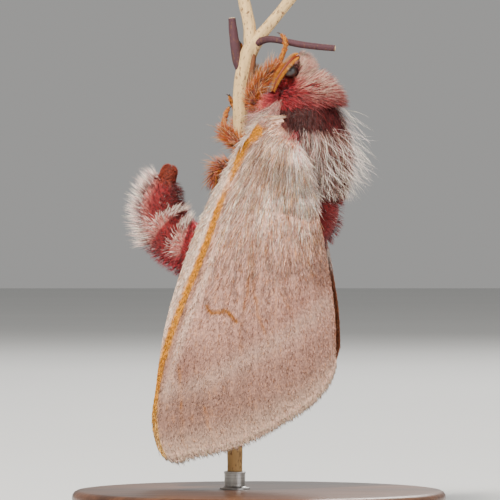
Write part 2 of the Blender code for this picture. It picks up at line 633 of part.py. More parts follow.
def collar_locks(rows, draw):
    """Hair of the neck, which stands up round the back and the sides of the head."""
    locks = []
    count = int(COLLAR_REACH / COLLAR_STEP)
    for place in range(-count, count + 1):
        degrees = place * COLLAR_STEP + draw.uniform(-PLACE_DRAW, PLACE_DRAW)
        root, out, back = skin_place(rows, COLLAR_SHARE, degrees)
        length = COLLAR_LENGTH * draw.uniform(*LENGTH_DRAW)

        def line_of(part, raised, root=root, out=out, back=back, length=length):
            lie = unit(COLLAR_LEAN * out - back)
            return lock_line(root, out, lie, length * part, COLLAR_LIFT * raised, 0.0)
        locks.append((line_of, out, COLLAR_WIDTH * draw.uniform(*WIDTH_DRAW)))
    return locks


def shoulder_locks(rows, margin, draw):
    """Locks that spring from both shoulders and lie down over the wing bases."""
    locks = []
    middle = SHOULDER_PLACES[len(SHOULDER_PLACES) // 2]
    for side in (-1.0, 1.0):
        for share, growth in zip(SHOULDER_SHARES, SHOULDER_GROWTH):
            for degrees in SHOULDER_PLACES:
                turned = -side * (degrees + draw.uniform(-PLACE_DRAW, PLACE_DRAW))
                root, out, back = skin_place(rows, share, turned)
                forward = SHOULDER_TURN + SHOULDER_FAN * (degrees - middle)
                lie = unit(np.array([-forward, side * SHOULDER_OUT, -1.0]))
                length = SHOULDER_LENGTH * growth * draw.uniform(*LENGTH_DRAW)

                def line_of(part, raised, root=root, out=out, lie=lie, length=length, side=side):
                    line = lock_line(root, out, lie, length * part, SHOULDER_LIFT, 0.0)
                    return over_wing(line, margin, side, 3.0 - 2.0 * raised)
                locks.append((line_of, out, SHOULDER_WIDTH * draw.uniform(*WIDTH_DRAW)))
    return locks


def breast_locks(rows, draw):
    """Shorter locks on the underside, between the legs."""
    locks = []
    for row in range(BREAST_ROWS):
        share = share_of(BREAST_SHARES, row, BREAST_ROWS)
        for degrees in BREAST_PLACES:
            root, out, back = skin_place(rows, share, degrees + draw.uniform(-PLACE_DRAW, PLACE_DRAW))

            def line_of(part, raised, root=root, out=out, back=back):
                return lock_line(root, out, unit(back + out), BREAST_LENGTH * part, BREAST_LIFT * raised, 0.0)
            locks.append((line_of, out, BREAST_WIDTH * draw.uniform(*WIDTH_DRAW)))
    return locks


def band_locks(rows, draw):
    """Rings of locks round one length of the abdomen, one for each of its bands."""
    locks = []
    for ring, share in enumerate(BAND_PLACES):
        for place in range(BAND_LOCKS):
            degrees = 360.0 * (place + 0.5 * (ring % 2)) / BAND_LOCKS + draw.uniform(-PLACE_DRAW, PLACE_DRAW)
            root, out, back = skin_place(rows, share, degrees)
            length = BAND_LENGTH * draw.uniform(*LENGTH_DRAW)

            def line_of(part, raised, root=root, out=out, back=back, length=length):
                lie = unit(back + BAND_LEAN * out)
                return lock_line(root, out, lie, length * part, BAND_LIFT * raised, 0.0)
            locks.append((line_of, out, BAND_WIDTH * draw.uniform(*WIDTH_DRAW)))
    return locks


def build_trunk():
    """The cores of thorax and abdomen, square-ended so that they meet face to face."""
    hair = material("body_hair", HAIR_COLOUR, 0.9)
    red = material("red_hair", RED_COLOUR, 0.9)
    tube("thorax", smooth_line(THORAX, THORAX_RINGS), hair, 6)
    for number, length in enumerate(abdomen_rows()):
        tube(f"abdomen_{number + 1}", length, red, 3)
    tube("abdomen_tip", TIP, material("orange_hair", ORANGE_COLOUR, 0.9))


def abdomen_rows():
    """The rows of each length of the abdomen."""
    line = smooth_line(ABDOMEN, ABDOMEN_LENGTHS * (ABDOMEN_RINGS - 1) + 1)
    firsts = [number * (ABDOMEN_RINGS - 1) for number in range(ABDOMEN_LENGTHS)]
    return [parted_length(line, first, first + ABDOMEN_RINGS - 1) for first in firsts]


def build_coat():
    """The locks of the thorax, then those of each length of the abdomen."""
    draw = random.Random(SEED)
    rows = smooth_line(THORAX, THORAX_RINGS)
    margin = smooth_line(INNER, EDGE_POINTS)[::-1]
    coat = mane_locks(rows, margin, draw) + shoulder_locks(rows, margin, draw)
    coat += breast_locks(rows, draw) + collar_locks(rows, draw)
    coats = [(name, leg_locks(line, draw)) for name, line in leg_rows()] + [("thorax", coat)]
    for number, length in enumerate(abdomen_rows()):
        coats.append((f"abdomen_{number + 1}", band_locks(length, draw)))
    for name, locks in coats:
        core = bpy.data.objects[name]
        grow(core, locks, [item for item in bpy.data.objects if item != core])


def head_place(direction):
    """A place on the head's surface in a direction from its middle, and the outward direction there."""
    axes = np.array(HEAD_AXES)
    step = unit(direction) / np.linalg.norm(unit(direction) / axes)
    return np.array(HEAD_CENTRE) + step, unit(step / axes ** 2)


def head_tufts(draw):
    """Tufts of the face, the crown and the cheeks."""
    tufts = []
    for tilt, spread in TUFT_ROWS:
        for place in range(spread):
            across = (place - 0.5 * (spread - 1)) * TUFT_SPREAD * draw.uniform(*WIDTH_DRAW)
            turn = math.radians(tilt + draw.uniform(-PLACE_DRAW, PLACE_DRAW))
            root, out = head_place(np.array([math.sin(turn), across, math.cos(turn)]))
            lie = unit(np.array([0.6 * math.sin(turn) - 0.35, 0.9 * across, 0.75 * math.cos(turn) + 0.25]))

            def line_of(part, raised, root=root, out=out, lie=lie):
                return lock_line(root, out, lie, TUFT_LENGTH * part, TUFT_LIFT * raised, 0.0)
            flat_side = np.cross(np.cross(lie, out), lie)
            tufts.append((line_of, flat_side, TUFT_WIDTH * draw.uniform(*WIDTH_DRAW)))
    return tufts


def build_head():
    """The head with its palps, tufts and eye sockets, the two eyes and the two feathered antennae."""
    hair = material("body_hair", HAIR_COLOUR, 0.9)
    head = ball("head", HEAD_CENTRE, HEAD_AXES, hair)
    sockets = []
    around = list(bpy.data.objects)
    around.remove(head)
    for side, word in ((-1, "left"), (1, "right")):
        centre = (EYE_CENTRE[0], side * EYE_CENTRE[1], EYE_CENTRE[2])
        size = EYE_RADIUS + GAP
        sockets.append(ball("socket_" + word, centre, (size, size, size), None, 12, 8))
        eye = (EYE_RADIUS,) * 3
        around.append(ball("eye_" + word, centre, eye, material("eye", EYE_COLOUR, 0.15), 12, 8))
        rows = smooth_line([(x, side * y, z, half) for x, y, z, half in ANTENNA], 2 * ANTENNA_TEETH + 1)
        halves = rows[:, 3].copy()
        halves[::2] *= 1.0 - TOOTH_DEPTH
        out = np.array(ANTENNA_FACE) * (1.0, side, 1.0)
        thicks = [ANTENNA_THICK] * len(rows)
        finish = material("antenna", ORANGE_COLOUR, 0.7)
        around.append(vane_mesh("antenna_" + word, rows[:, :3], out, halves, thicks, finish))
    apply_boolean(head, "DIFFERENCE", sockets)
    palps = []
    for side in (-1, 1):
        rows = smooth_line([(x, side * y, z, r) for x, y, z, r in PALP], 4)
        palps.append(tube(f"palp_{side}", rows, None, 1))
    grow(head, head_tufts(random.Random(SEED)), around, palps)


def leg_rows():
    """Every leg's name and the rows of its line."""
    for side, word, legs in ((-1, "left", LEFT_LEGS), (1, "right", RIGHT_LEGS)):
        for place, rows in legs.items():
            yield f"leg_{place}_{word}", smooth_line([(x, side * y, z, r) for x, y, z, r in rows], LEG_RINGS)


def build_legs():
    """Three pairs of legs, from the underside of the thorax to their hold on the stem."""
    for name, rows in leg_rows():
        tube(name, rows, material("leg_hair", ORANGE_COLOUR, 0.9))


def leg_locks(rows, draw):
    """A few locks down the thigh and shin of one leg."""
    locks = []
    for share, degrees in LEG_LOCK_PLACES:
        root, out, ahead = skin_place(rows, share, degrees + draw.uniform(-PLACE_DRAW, PLACE_DRAW))

        def line_of(part, raised, root=root, out=out, ahead=ahead):
            lie = unit(ahead + LEG_LOCK_LEAN * out)
            lift = LEG_LOCK_LIFT * raised
            return lock_line(root, out, lie, LEG_LOCK_LENGTH * part, lift, 0.0, LEG_LOCK_SINK)
        locks.append((line_of, out, LEG_LOCK_WIDTH * draw.uniform(*WIDTH_DRAW)))
    return locks


def build_wings():
    """Two forewings on the roof, and a hindwing inside each."""
    scales = material("wing_scales", WING_COLOUR, 0.85)
    fore = (COSTA, INNER, MARGIN)
    hind = (HIND_COSTA, HIND_INNER, HIND_MARGIN)
    for side, word, ridge in ((-1, "left", RIDGE_X), (1, "right", FAR_RIDGE_X)):
        wing("forewing_" + word, fore, WING_STEPS, VEINS, side, 0.0, ridge, scales)
        wing("hindwing_" + word, hind, HIND_STEPS, HIND_VEINS, side, HIND_DEPTH, ridge, scales)


def main():
    clear_file()
    build_stand()
    build_perch()
    build_wings()
    build_trunk()
    build_legs()
    build_head()
    build_coat()


main()
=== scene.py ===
import math

import bpy
import numpy as np
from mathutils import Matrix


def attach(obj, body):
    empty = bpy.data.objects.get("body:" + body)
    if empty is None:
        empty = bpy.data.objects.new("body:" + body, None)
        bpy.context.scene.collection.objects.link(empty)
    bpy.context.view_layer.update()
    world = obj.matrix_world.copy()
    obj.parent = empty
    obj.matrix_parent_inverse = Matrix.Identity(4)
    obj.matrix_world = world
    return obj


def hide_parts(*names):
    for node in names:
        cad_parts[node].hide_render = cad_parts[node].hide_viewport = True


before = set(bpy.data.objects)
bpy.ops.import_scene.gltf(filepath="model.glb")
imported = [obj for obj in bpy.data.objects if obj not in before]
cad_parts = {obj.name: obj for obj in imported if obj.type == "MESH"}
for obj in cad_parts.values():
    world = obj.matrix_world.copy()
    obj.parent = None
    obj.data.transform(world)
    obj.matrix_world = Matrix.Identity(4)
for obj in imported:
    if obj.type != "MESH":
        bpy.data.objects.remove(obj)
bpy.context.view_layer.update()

MM = 0.001
GAP = 0.3
TURN = 2.0 * math.pi
SIDES = ((-1.0, "left"), (1.0, "right"))

# Numbers of tufts
SCALES = 15000          # on each forewing
BASE_HAIR = 6400        # on each forewing
MANE_LAYER = 8400
MANE_WISPS = 560
COLLAR_HAIR = 4600
HEAD_HAIR = 6400
BREAST_HAIR = 3800
ABDOMEN_HAIR = 11800
TIP_HAIR = 1300
LEG_HAIR = 1800         # on each leg

BODY_SIDES = 96
TUFT_PATCH = 0.003      # part of the UV map that one tuft takes
STEM_START = 4.71       # rows of the stem below this height are drawn down into the sleeve
STEM_FOOT = 4.3
FLOOR_SIZE = 6.0

# Camera: level, half a metre in front of the middle plane
CAMERA_PLACE = (-0.96, -500.0, 28.69)
VIEW_WIDTH = 53.53      # width of the picture at the middle plane
CAMERA_SENSOR = 36.0

# Dry stem and its cut side shoots, as (x, y, z, radius)
STEM = [(-2.59, 1.8, 4.7, 0.80), (-2.53, 1.8, 12.4, 0.79), (-2.37, 1.8, 23.3, 0.78),
        (-2.15, 1.8, 34.1, 0.78), (-1.99, 1.8, 42.8, 0.79), (-1.85, 1.8, 46.4, 0.84),
        (-1.30, 1.8, 49.0, 0.88), (-0.72, 1.8, 50.5, 0.86), (0.34, 1.75, 51.9, 0.66),
        (1.75, 1.7, 53.6, 0.60), (3.60, 1.6, 55.9, 0.58)]
UPRIGHT_SHOOT = [(-0.95, 1.8, 49.6, 0.60), (-0.95, 1.8, 51.4, 0.68), (-1.10, 1.9, 53.1, 0.66),
                 (-1.68, 2.0, 55.9, 0.64)]
PURPLE_SHOOT = [(-1.75, 1.8, 47.4, 0.40), (-2.30, 1.9, 49.0, 0.52), (-2.62, 2.0, 51.0, 0.50),
                (-2.90, 2.1, 53.6, 0.40)]
GRIPPED_TWIG = [(-0.90, 1.7, 50.5, 0.45), (0.25, 1.1, 51.1, 0.40), (1.30, 0.0, 51.25, 0.36),
                (2.95, -1.05, 50.95, 0.35), (4.60, -1.6, 50.6, 0.35), (6.40, -1.9, 50.35, 0.34),
                (8.10, -2.1, 50.2, 0.33)]
BARK_STRIP = [(-0.70, 1.5, 50.2, 0.30), (-0.62, 1.2, 48.9, 0.28), (-0.95, 1.1, 47.0, 0.27),
              (-1.35, 1.3, 44.8, 0.27), (-1.70, 1.6, 42.8, 0.27)]

# Body: centre lines as (x, y, z, radius), from the crown of the head to the tip of the abdomen
HEAD = [(3.40, 0.0, 48.88, 0.15), (3.50, 0.0, 48.70, 0.80), (3.65, 0.0, 48.20, 1.40),
        (3.75, 0.0, 47.55, 1.62), (3.85, 0.0, 46.80, 1.40), (3.95, 0.0, 46.30, 1.35)]
THORAX = [(4.05, 0.0, 45.80, 2.30), (4.20, 0.0, 44.60, 3.25), (4.42, 0.0, 43.00, 3.90),
          (4.70, 0.0, 40.90, 4.20), (5.00, 0.0, 38.60, 4.20), (5.27, 0.0, 36.60, 3.85),
          (5.50, 0.0, 35.00, 3.30), (5.62, 0.0, 34.00, 2.90)]
ABDOMEN = [(5.66, 0.00, 33.50, 2.85), (5.76, 0.00, 32.70, 2.84), (5.10, -0.25, 31.20, 2.80),
           (3.10, -0.80, 29.80, 2.70), (0.60, -1.45, 28.80, 2.55), (-2.20, -1.80, 28.20, 2.48),
           (-5.00, -1.80, 28.10, 2.45), (-7.50, -1.70, 28.65, 2.42), (-9.30, -1.55, 29.90, 2.38),
           (-10.35, -1.40, 31.60, 2.30), (-10.60, -1.30, 33.50, 2.10), (-10.20, -1.25, 35.30, 1.60)]
TIP = [(-9.90, -1.25, 36.10, 0.98), (-9.60, -1.25, 37.00, 0.85), (-9.44, -1.25, 37.42, 0.60),
       (-9.38, -1.25, 37.60, 0.12)]
EYE_CENTRE = (3.30, 1.62, 47.75)
EYE_RADIUS = 0.78
PALP = [(2.75, 0.42, 47.55, 0.28), (2.05, 0.45, 48.00, 0.26), (1.65, 0.45, 48.45, 0.12)]
ANTENNA = [(4.20, 1.05, 49.20, 0.30), (4.10, 1.85, 49.40, 0.48), (3.50, 2.75, 49.00, 0.66),
           (2.65, 3.35, 48.05, 0.68), (1.90, 3.62, 46.85, 0.58), (1.45, 3.70, 45.60, 0.34)]
LEFT_LEGS = {
    "front": [(0.75, 1.55, 43.75, 0.62), (0.05, 1.95, 44.10, 0.60), (-0.65, 2.20, 44.95, 0.52),
              (-0.10, 2.15, 46.00, 0.60), (0.95, 2.00, 47.30, 0.56), (2.00, 1.80, 48.45, 0.34),
              (2.45, 1.95, 49.35, 0.27), (2.80, 2.12, 50.35, 0.27), (2.75, 2.12, 51.20, 0.25),
              (2.30, 1.65, 51.75, 0.12)],
    "middle": [(-0.05, 1.50, 40.60, 0.66), (-0.60, 1.95, 39.90, 0.64), (-1.30, 2.60, 39.30, 0.55),
               (-2.15, 2.55, 39.95, 0.60), (-3.05, 2.10, 40.75, 0.52), (-3.75, 1.45, 41.40, 0.32),
               (-3.80, 0.80, 42.00, 0.27), (-3.62, 0.00, 42.80, 0.27), (-3.48, -0.75, 43.50, 0.24),
               (-3.20, -1.15, 44.00, 0.12)],
    "hind": [(0.85, 1.60, 36.90, 0.68), (-0.90, 2.30, 37.10, 0.70), (-2.90, 2.90, 37.45, 0.62),
             (-4.35, 3.00, 37.50, 0.50), (-4.70, 2.45, 36.50, 0.56), (-4.40, 1.60, 35.30, 0.50),
             (-3.90, 0.80, 34.20, 0.32), (-3.70, 0.10, 33.40, 0.27), (-3.55, -0.70, 32.60, 0.25),
             (-3.30, -1.20, 32.00, 0.12)],
}
RIGHT_LEGS = {
    "front": [(0.65, 1.60, 43.85, 0.60), (0.00, 2.40, 44.40, 0.60), (-0.45, 3.20, 45.20, 0.52),
              (-0.55, 3.45, 46.40, 0.58), (-0.55, 3.50, 47.60, 0.52), (-0.80, 3.35, 48.70, 0.32),
              (-1.20, 3.25, 49.50, 0.27), (-1.75, 3.15, 50.30, 0.26), (-2.05, 2.95, 51.00, 0.12)],
    "middle": [(-0.05, 1.60, 40.60, 0.62), (-0.40, 2.50, 40.10, 0.62), (-1.00, 3.55, 40.20, 0.55),
               (-1.60, 3.75, 41.10, 0.58), (-1.90, 3.75, 42.20, 0.50), (-2.25, 3.40, 43.10, 0.30),
               (-2.55, 3.18, 43.90, 0.27), (-2.95, 2.90, 44.70, 0.25), (-3.20, 2.55, 45.30, 0.12)],
    "hind": [(0.80, 1.75, 36.70, 0.68), (-0.30, 2.60, 37.50, 0.68), (-1.30, 3.70, 38.00, 0.60),
             (-1.80, 4.10, 37.20, 0.52), (-2.10, 3.85, 36.10, 0.52), (-2.30, 3.50, 35.00, 0.32),
             (-2.45, 3.22, 34.10, 0.27), (-2.75, 3.08, 33.10, 0.25), (-3.10, 2.75, 32.40, 0.12)],
}

# Wings, as (x, z) outlines in the plane that the roof leans on
ROOT_FRONT = (2.2, 43.0)
ROOT_BACK = (4.2, 40.2)
APEX = (-9.7, 6.1)
TORNUS = (8.24, 16.3)
COSTA = [ROOT_FRONT, (0.3, 42.6), (-1.3, 40.9), (-2.65, 38.6), (-5.75, 32.9), (-8.35, 26.2),
         (-10.06, 20.1), (-10.95, 14.1), (-11.35, 10.9), (-10.95, 8.2), APEX]
INNER = [ROOT_BACK, (5.6, 36.0), (6.75, 30.3), (7.6, 25.5), (8.1, 21.5), TORNUS]
MARGIN = [APEX, (-8.46, 5.67), (-6.75, 6.1), (-3.43, 6.96), (-0.75, 7.92), (2.78, 9.96),
          (5.57, 11.88), (7.5, 14.2), TORNUS]
HIND_ROOT_FRONT = (2.7, 39.3)
HIND_ROOT_BACK = (4.4, 36.6)
HIND_APEX = (-8.2, 12.6)
HIND_TORNUS = (6.9, 17.3)
HIND_COSTA = [HIND_ROOT_FRONT, (0.5, 38.2), (-2.0, 34.9), (-5.2, 28.8), (-7.6, 21.5), (-8.7, 15.6),
              HIND_APEX]
HIND_INNER = [HIND_ROOT_BACK, (5.4, 32.0), (6.2, 27.5), (6.8, 22.5), HIND_TORNUS]
HIND_MARGIN = [HIND_APEX, (-6.2, 10.0), (-2.6, 9.3), (1.2, 10.9), (4.8, 13.6), HIND_TORNUS]
FORE_OUTLINE = (COSTA, INNER, MARGIN)
HIND_OUTLINE = (HIND_COSTA, HIND_INNER, HIND_MARGIN)
FORE_VEINS = 9
HIND_VEINS = 6
HIND_DEPTH = 1.00
HIND_START = 0.10
STEEPEST = 1.9
LAP_START = (0.15, 0.40)
LAP_END = 0.90
EDGE_POINTS = 60
PROBE = 0.05

# Roof that the wings lean on
RIDGE_X = 8.45
FAR_RIDGE_X = 8.95
RIDGE_HALF_GAP = 0.32
ROOF_SPREAD = 6.4
ROOF_SPREAD_LOW = 4.6
ROOF_RUN = 5.0
ROOF_TOP_Z = 26.0
ROOF_LOW_Z = 8.0
WING_CLEARANCE = 1.85
DRAPE_WIDTH = (1.9, 1.6)     # wider than the solid's, so that no fold shows
DRAPE_POWER = 2.6
DRAPE_BLEND = 0.6
ROOT_TILT = 0.62
ROOT_REACH = 0.12
TRUNK_ROWS = 7

# Finer shapes of the visible wing
MEMBRANE = 0.12         # thickness of the wing sheet
VEIN_RISE = 0.07
VEIN_HALF_WIDTH = 0.17  # of a vein, in millimetres
FRINGE_SHARE = 0.022    # share of the wing's length that its fringe takes
WING_GRID = (130, 90)

# Markings of the forewing, as (x, z) lines
ORANGE_LINE = [(0.0, 41.4), (-1.3, 40.5), (-2.0, 39.2), (-2.3, 37.8), (-3.3, 35.6), (-4.0, 33.9),
               (-5.8, 28.7), (-7.9, 23.7), (-9.3, 20.0), (-10.3, 16.8), (-10.9, 14.1), (-11.2, 11.0),
               (-10.9, 8.6), (-10.3, 7.0)]
DISCAL_ARC = [(-5.5, 22.7), (-5.1, 22.05), (-4.0, 22.15), (-3.5, 22.25), (-2.9, 21.7), (-2.4, 21.1)]
PALE_BAND = [(-10.3, 13.8), (-6.1, 14.6), (-2.7, 16.4), (0.2, 18.1), (2.5, 19.3), (5.8, 21.7), (6.9, 23.0)]
VEIN_LINES = [
    [(1.4, 39.3), (0.1, 36.6), (-0.8, 32.4), (-1.2, 24.4), (-1.7, 22.0), (-2.1, 20.6), (-1.8, 17.6)],
    [(-0.8, 32.4), (-0.5, 24.4), (-0.1, 21.8), (1.0, 18.9)],
    [(1.6, 35.5), (3.4, 31.2), (4.8, 28.8), (5.6, 26.0)],
    [(2.1, 24.6), (3.2, 22.4)],
    [(-8.5, 16.4), (-8.3, 13.0), (-8.0, 7.9)],
    [(-5.7, 12.0), (-5.3, 10.0), (-4.7, 8.3)],
]
SMUDGE = (-7.9, 15.5)
WING_LENGTH = 38.0
FRINGE_TEETH = 34         # tufts that the fringe is notched into

# Colours
WING_TOP = (240, 196, 174)
WING_MIDDLE = (194, 148, 130)
WING_LOW = (152, 116, 100)
WING_PALE = (188, 156, 138)
WING_DUSKY = (148, 102, 88)
COSTA_PALE = (238, 208, 186)
ORANGE = (226, 150, 0)
ORANGE_PALE = (212, 164, 80)
# Dark brown of the painted shade along the orange line, also used for a few dark scales within it
ORANGE_SHADE_AND_SPECK = (128, 70, 28)
DISCAL = (150, 88, 0)
GOLDEN = (198, 130, 60)
VEIN_BROWN = (164, 104, 50)
FRECKLE = (112, 72, 56)
MARGIN_PALE = (204, 172, 150)
FRINGE = (234, 210, 184)
# Brown of the painted shade beside the forewing's inner edge, partly the wing's own brown
INNER_SHADE_BROWN = (146, 104, 82)
UNDER_WING = (140, 88, 66)
UNDER_RED = (140, 76, 46)
CREAM = (236, 208, 182)
WHITE_HAIR = (246, 230, 216)
PINK_HAIR = (222, 150, 136)
ROSE = (196, 50, 66)
RED_HAIR = (144, 10, 14)
DARK_RED = (64, 8, 8)
BROWN_RED = (92, 26, 12)
ORANGE_HAIR = (192, 120, 10)
RED_ORANGE = (176, 58, 20)
TIP_BROWN = (126, 38, 0)
CLAW = (60, 26, 12)
STEM_CREAM = (208, 174, 122)
STEM_TAN = (186, 146, 92)
STEM_PURPLE = (72, 44, 50)
STEM_BROWN = (108, 64, 36)

# Single scales differ in hue: paler, golden and dark ones, each with its share of all
SCALE_HUES = ((1.0, 1.0, 1.0), (1.34, 1.36, 1.40), (1.06, 0.84, 0.54), (0.50, 0.38, 0.32))
SCALE_SHARES = (0.38, 0.30, 0.14, 0.18)

rng = np.random.default_rng(11)


def linear(colour):
    """A screen colour, from 0 to 255, as linear light."""
    value = np.asarray(colour, dtype=float) / 255.0
    return np.where(value <= 0.04045, value / 12.92, ((value + 0.055) / 1.055) ** 2.4)


def mix(first, second, share):
    """Colours blended row by row."""
    share = np.clip(np.asarray(share, dtype=float), 0.0, 1.0)[..., None]
    return first * (1.0 - share) + second * share


def unit(vectors):
    """Vectors scaled to length 1."""
    return vectors / np.maximum(np.linalg.norm(vectors, axis=-1, keepdims=True), 1e-9)


def smooth_step(value, low, high):
    """0 below low, 1 above high, and an even S between them."""
    t = np.clip((value - low) / (high - low), 0.0, 1.0)
    return t * t * (3.0 - 2.0 * t)


def smooth_line(points, count):
    """Rows at even steps along a smooth curve through the given rows."""
    rows = np.array(points, dtype=float)
    padded = np.vstack([2.0 * rows[0] - rows[1], rows, 2.0 * rows[-1] - rows[-2]])
    dense = []
    for start in range(len(rows) - 1):
        before, here, there, after = padded[start:start + 4]
        for t in np.linspace(0.0, 1.0, 16, endpoint=False):
            dense.append(0.5 * (2.0 * here + (there - before) * t
                                + (2.0 * before - 5.0 * here + 4.0 * there - after) * t ** 2
                                + (3.0 * here - before - 3.0 * there + after) * t ** 3))
    dense.append(rows[-1])
    dense = np.array(dense)
    steps = np.linalg.norm(np.diff(dense[:, :min(3, dense.shape[1])], axis=0), axis=1)
    along = np.concatenate([[0.0], np.cumsum(steps)])
    wanted = np.linspace(0.0, along[-1], count)
    return np.column_stack([np.interp(wanted, along, dense[:, k]) for k in range(dense.shape[1])])


def line_distance(x, z, points):
    """The distance of each place from a line of (x, z) points."""
    least = np.full(np.shape(x), 1e9)
    for (ax, az), (bx, bz) in zip(points, points[1:]):
        run = (bx - ax) ** 2 + (bz - az) ** 2
        t = np.clip(((x - ax) * (bx - ax) + (z - az) * (bz - az)) / run, 0.0, 1.0)
        least = np.minimum(least, np.hypot(x - ax - t * (bx - ax), z - az - t * (bz - az)))
    return least


def cloud(u, v, rows, columns, seed):
    """Smooth noise from -1 to 1 on a grid over u and v."""
    grid = np.random.default_rng(seed).uniform(-1.0, 1.0, (rows + 1, columns + 1))
    across = np.clip(u, 0.0, 0.9999) * rows
    down = np.clip(v, 0.0, 0.9999) * columns
    row = across.astype(int)
    column = down.astype(int)
    a = smooth_step(across - row, 0.0, 1.0)
    b = smooth_step(down - column, 0.0, 1.0)
    upper = grid[row, column] * (1.0 - b) + grid[row, column + 1] * b
    lower = grid[row + 1, column] * (1.0 - b) + grid[row + 1, column + 1] * b
    return upper * (1.0 - a) + lower * a


# Wing surfaces

def roof(x, z, ridge_x):
    """How far the roof of one wing stands off the middle plane."""
    spread = ROOF_SPREAD_LOW + (ROOF_SPREAD - ROOF_SPREAD_LOW) * smooth_step(z, ROOF_LOW_Z, ROOF_TOP_Z)
    run = np.maximum(ridge_x - x, 0.0)
    return RIDGE_HALF_GAP + spread * (1.0 - np.exp(-run / ROOF_RUN))


def trunk_cover(x, z):
    """How far a forewing has to stand off the middle plane to drape over thorax and abdomen."""
    cover = np.zeros_like(x)
    share, extra = DRAPE_WIDTH
    for row in THORAX + ABDOMEN[:TRUNK_ROWS]:
        away = np.hypot(x - row[0], z - row[2]) / (share * row[3] + extra)
        cover = np.maximum(cover, (abs(row[1]) + row[3] + WING_CLEARANCE) * np.exp(-away ** DRAPE_POWER))
    return cover


def draped_offset(x, z, ridge_x):
    """How far a forewing's middle stands off the middle plane, by the roof or by a wider trunk."""
    lean = roof(x, z, ridge_x)
    wide = trunk_cover(x, z)
    return 0.5 * (lean + wide + np.sqrt((lean - wide) ** 2 + DRAPE_BLEND))


def thorax_side(x, z):
    """Half the width of the thorax at a place."""
    rows = np.array(THORAX)
    order = np.argsort(rows[:, 2])
    centre = np.interp(z, rows[order, 2], rows[order, 0])
    radius = np.interp(z, rows[order, 2], rows[order, 3])
    return np.sqrt(np.maximum(radius ** 2 - (x - centre) ** 2, 0.0))


def wing_offset(x, z, along, ridge_x):
    """The draped offset, drawn in to the thorax at the wing's root."""
    rooted = thorax_side(x, z) + GAP + ROOT_TILT
    draped = draped_offset(x, z, ridge_x)
    return rooted + (draped - rooted) * smooth_step(along, 0.0, ROOT_REACH)


def patch(u, v, costa, inner, margin):
    """The place (x, z) on a wing between its two long edges and its outer margin."""
    front = np.column_stack([np.interp(u, np.linspace(0, 1, len(costa)), costa[:, k]) for k in (0, 1)])
    back = np.column_stack([np.interp(u, np.linspace(0, 1, len(inner)), inner[:, k]) for k in (0, 1)])
    outer = np.column_stack([np.interp(v, np.linspace(0, 1, len(margin)), margin[:, k]) for k in (0, 1)])
    u = u[:, None]
    v = v[:, None]
    root = (1.0 - v) * costa[0] + v * inner[0]
    corners = ((1.0 - u) * (1.0 - v) * costa[0] + (1.0 - u) * v * inner[0]
               + u * (1.0 - v) * costa[-1] + u * v * inner[-1])
    return (1.0 - v) * front + v * back + (1.0 - u) * root + u * outer - corners


class Wing:
    """The middle surface of one wing, which runs from u = 0 at its root and v = 0 at its front edge."""

    def __init__(self, outline, side, depth, ridge_x, veins):
        self.lines = [smooth_line(points, EDGE_POINTS) for points in outline]
        self.side = side
        self.depth = depth
        self.ridge_x = ridge_x
        self.veins = veins

    def place(self, u, v):
        """The places of u and v in space."""
        flat = patch(u, v, *self.lines)
        lap = self.ridge_x - RIDGE_X
        x = flat[:, 0] + lap * v ** 2 * smooth_step(u, *LAP_START) * (1.0 - smooth_step(u, LAP_END, 1.0))
        z = flat[:, 1]
        middle = wing_offset(x, z, u, self.ridge_x)
        if self.depth:
            slope_x = (wing_offset(x + PROBE, z, u, self.ridge_x) - middle) / PROBE
            slope_z = (wing_offset(x, z + PROBE, u, self.ridge_x) - middle) / PROBE
            steepness = np.minimum(np.sqrt(1.0 + slope_x ** 2 + slope_z ** 2), STEEPEST)
            middle = middle - self.depth * steepness * smooth_step(u, 0.0, HIND_START)
        return np.column_stack([x, self.side * middle, z])

    def frame(self, u, v):
        """Places, with the outward normal, the direction to the margin and the one to the inner edge."""
        step = 0.004
        here = self.place(u, v)
        along = self.place(np.minimum(u + step, 1.0), v) - self.place(np.maximum(u - step, 0.0), v)
        across = self.place(u, np.minimum(v + step, 1.0)) - self.place(u, np.maximum(v - step, 0.0))
        normal = unit(np.cross(along, across))
        normal = normal * np.where(normal[:, 1:2] * self.side < 0.0, -1.0, 1.0)
        return here, normal, unit(along), unit(across)

    def width(self, u):
        """The length from the front edge to the inner edge at each u."""
        ends = self.place(u, np.ones_like(u)) - self.place(u, np.zeros_like(u))
        return np.linalg.norm(ends, axis=1)

    def vein(self, u, v):
        """1 on the middle line of a vein and 0 away from it."""
        number = self.veins
        off = (v * number - 0.5) - np.round(v * number - 0.5)
        away = off / number * self.width(u)
        return np.exp(-(away / VEIN_HALF_WIDTH) ** 2) * smooth_step(u, 0.08, 0.22)


def orange_share(x, z):
    """1 on the orange line along the front edge and 0 away from it."""
    half = 0.34 + 0.34 * smooth_step(z, 36.8, 38.6)
    faded = 1.0 - 0.70 * np.exp(-((z - 35.8) / 1.5) ** 2)
    return faded * np.exp(-(line_distance(x, z, ORANGE_LINE) / half) ** 4)


def inner_shade(z, v):
    """1 where the forewing is painted brown beside its inner edge, partly its own brown and partly shade where
    it turns away over the ridge, and 0 elsewhere.
    """
    return np.exp(-((z - 31.0) / 2.8) ** 2) * smooth_step(v, 0.70, 0.90)


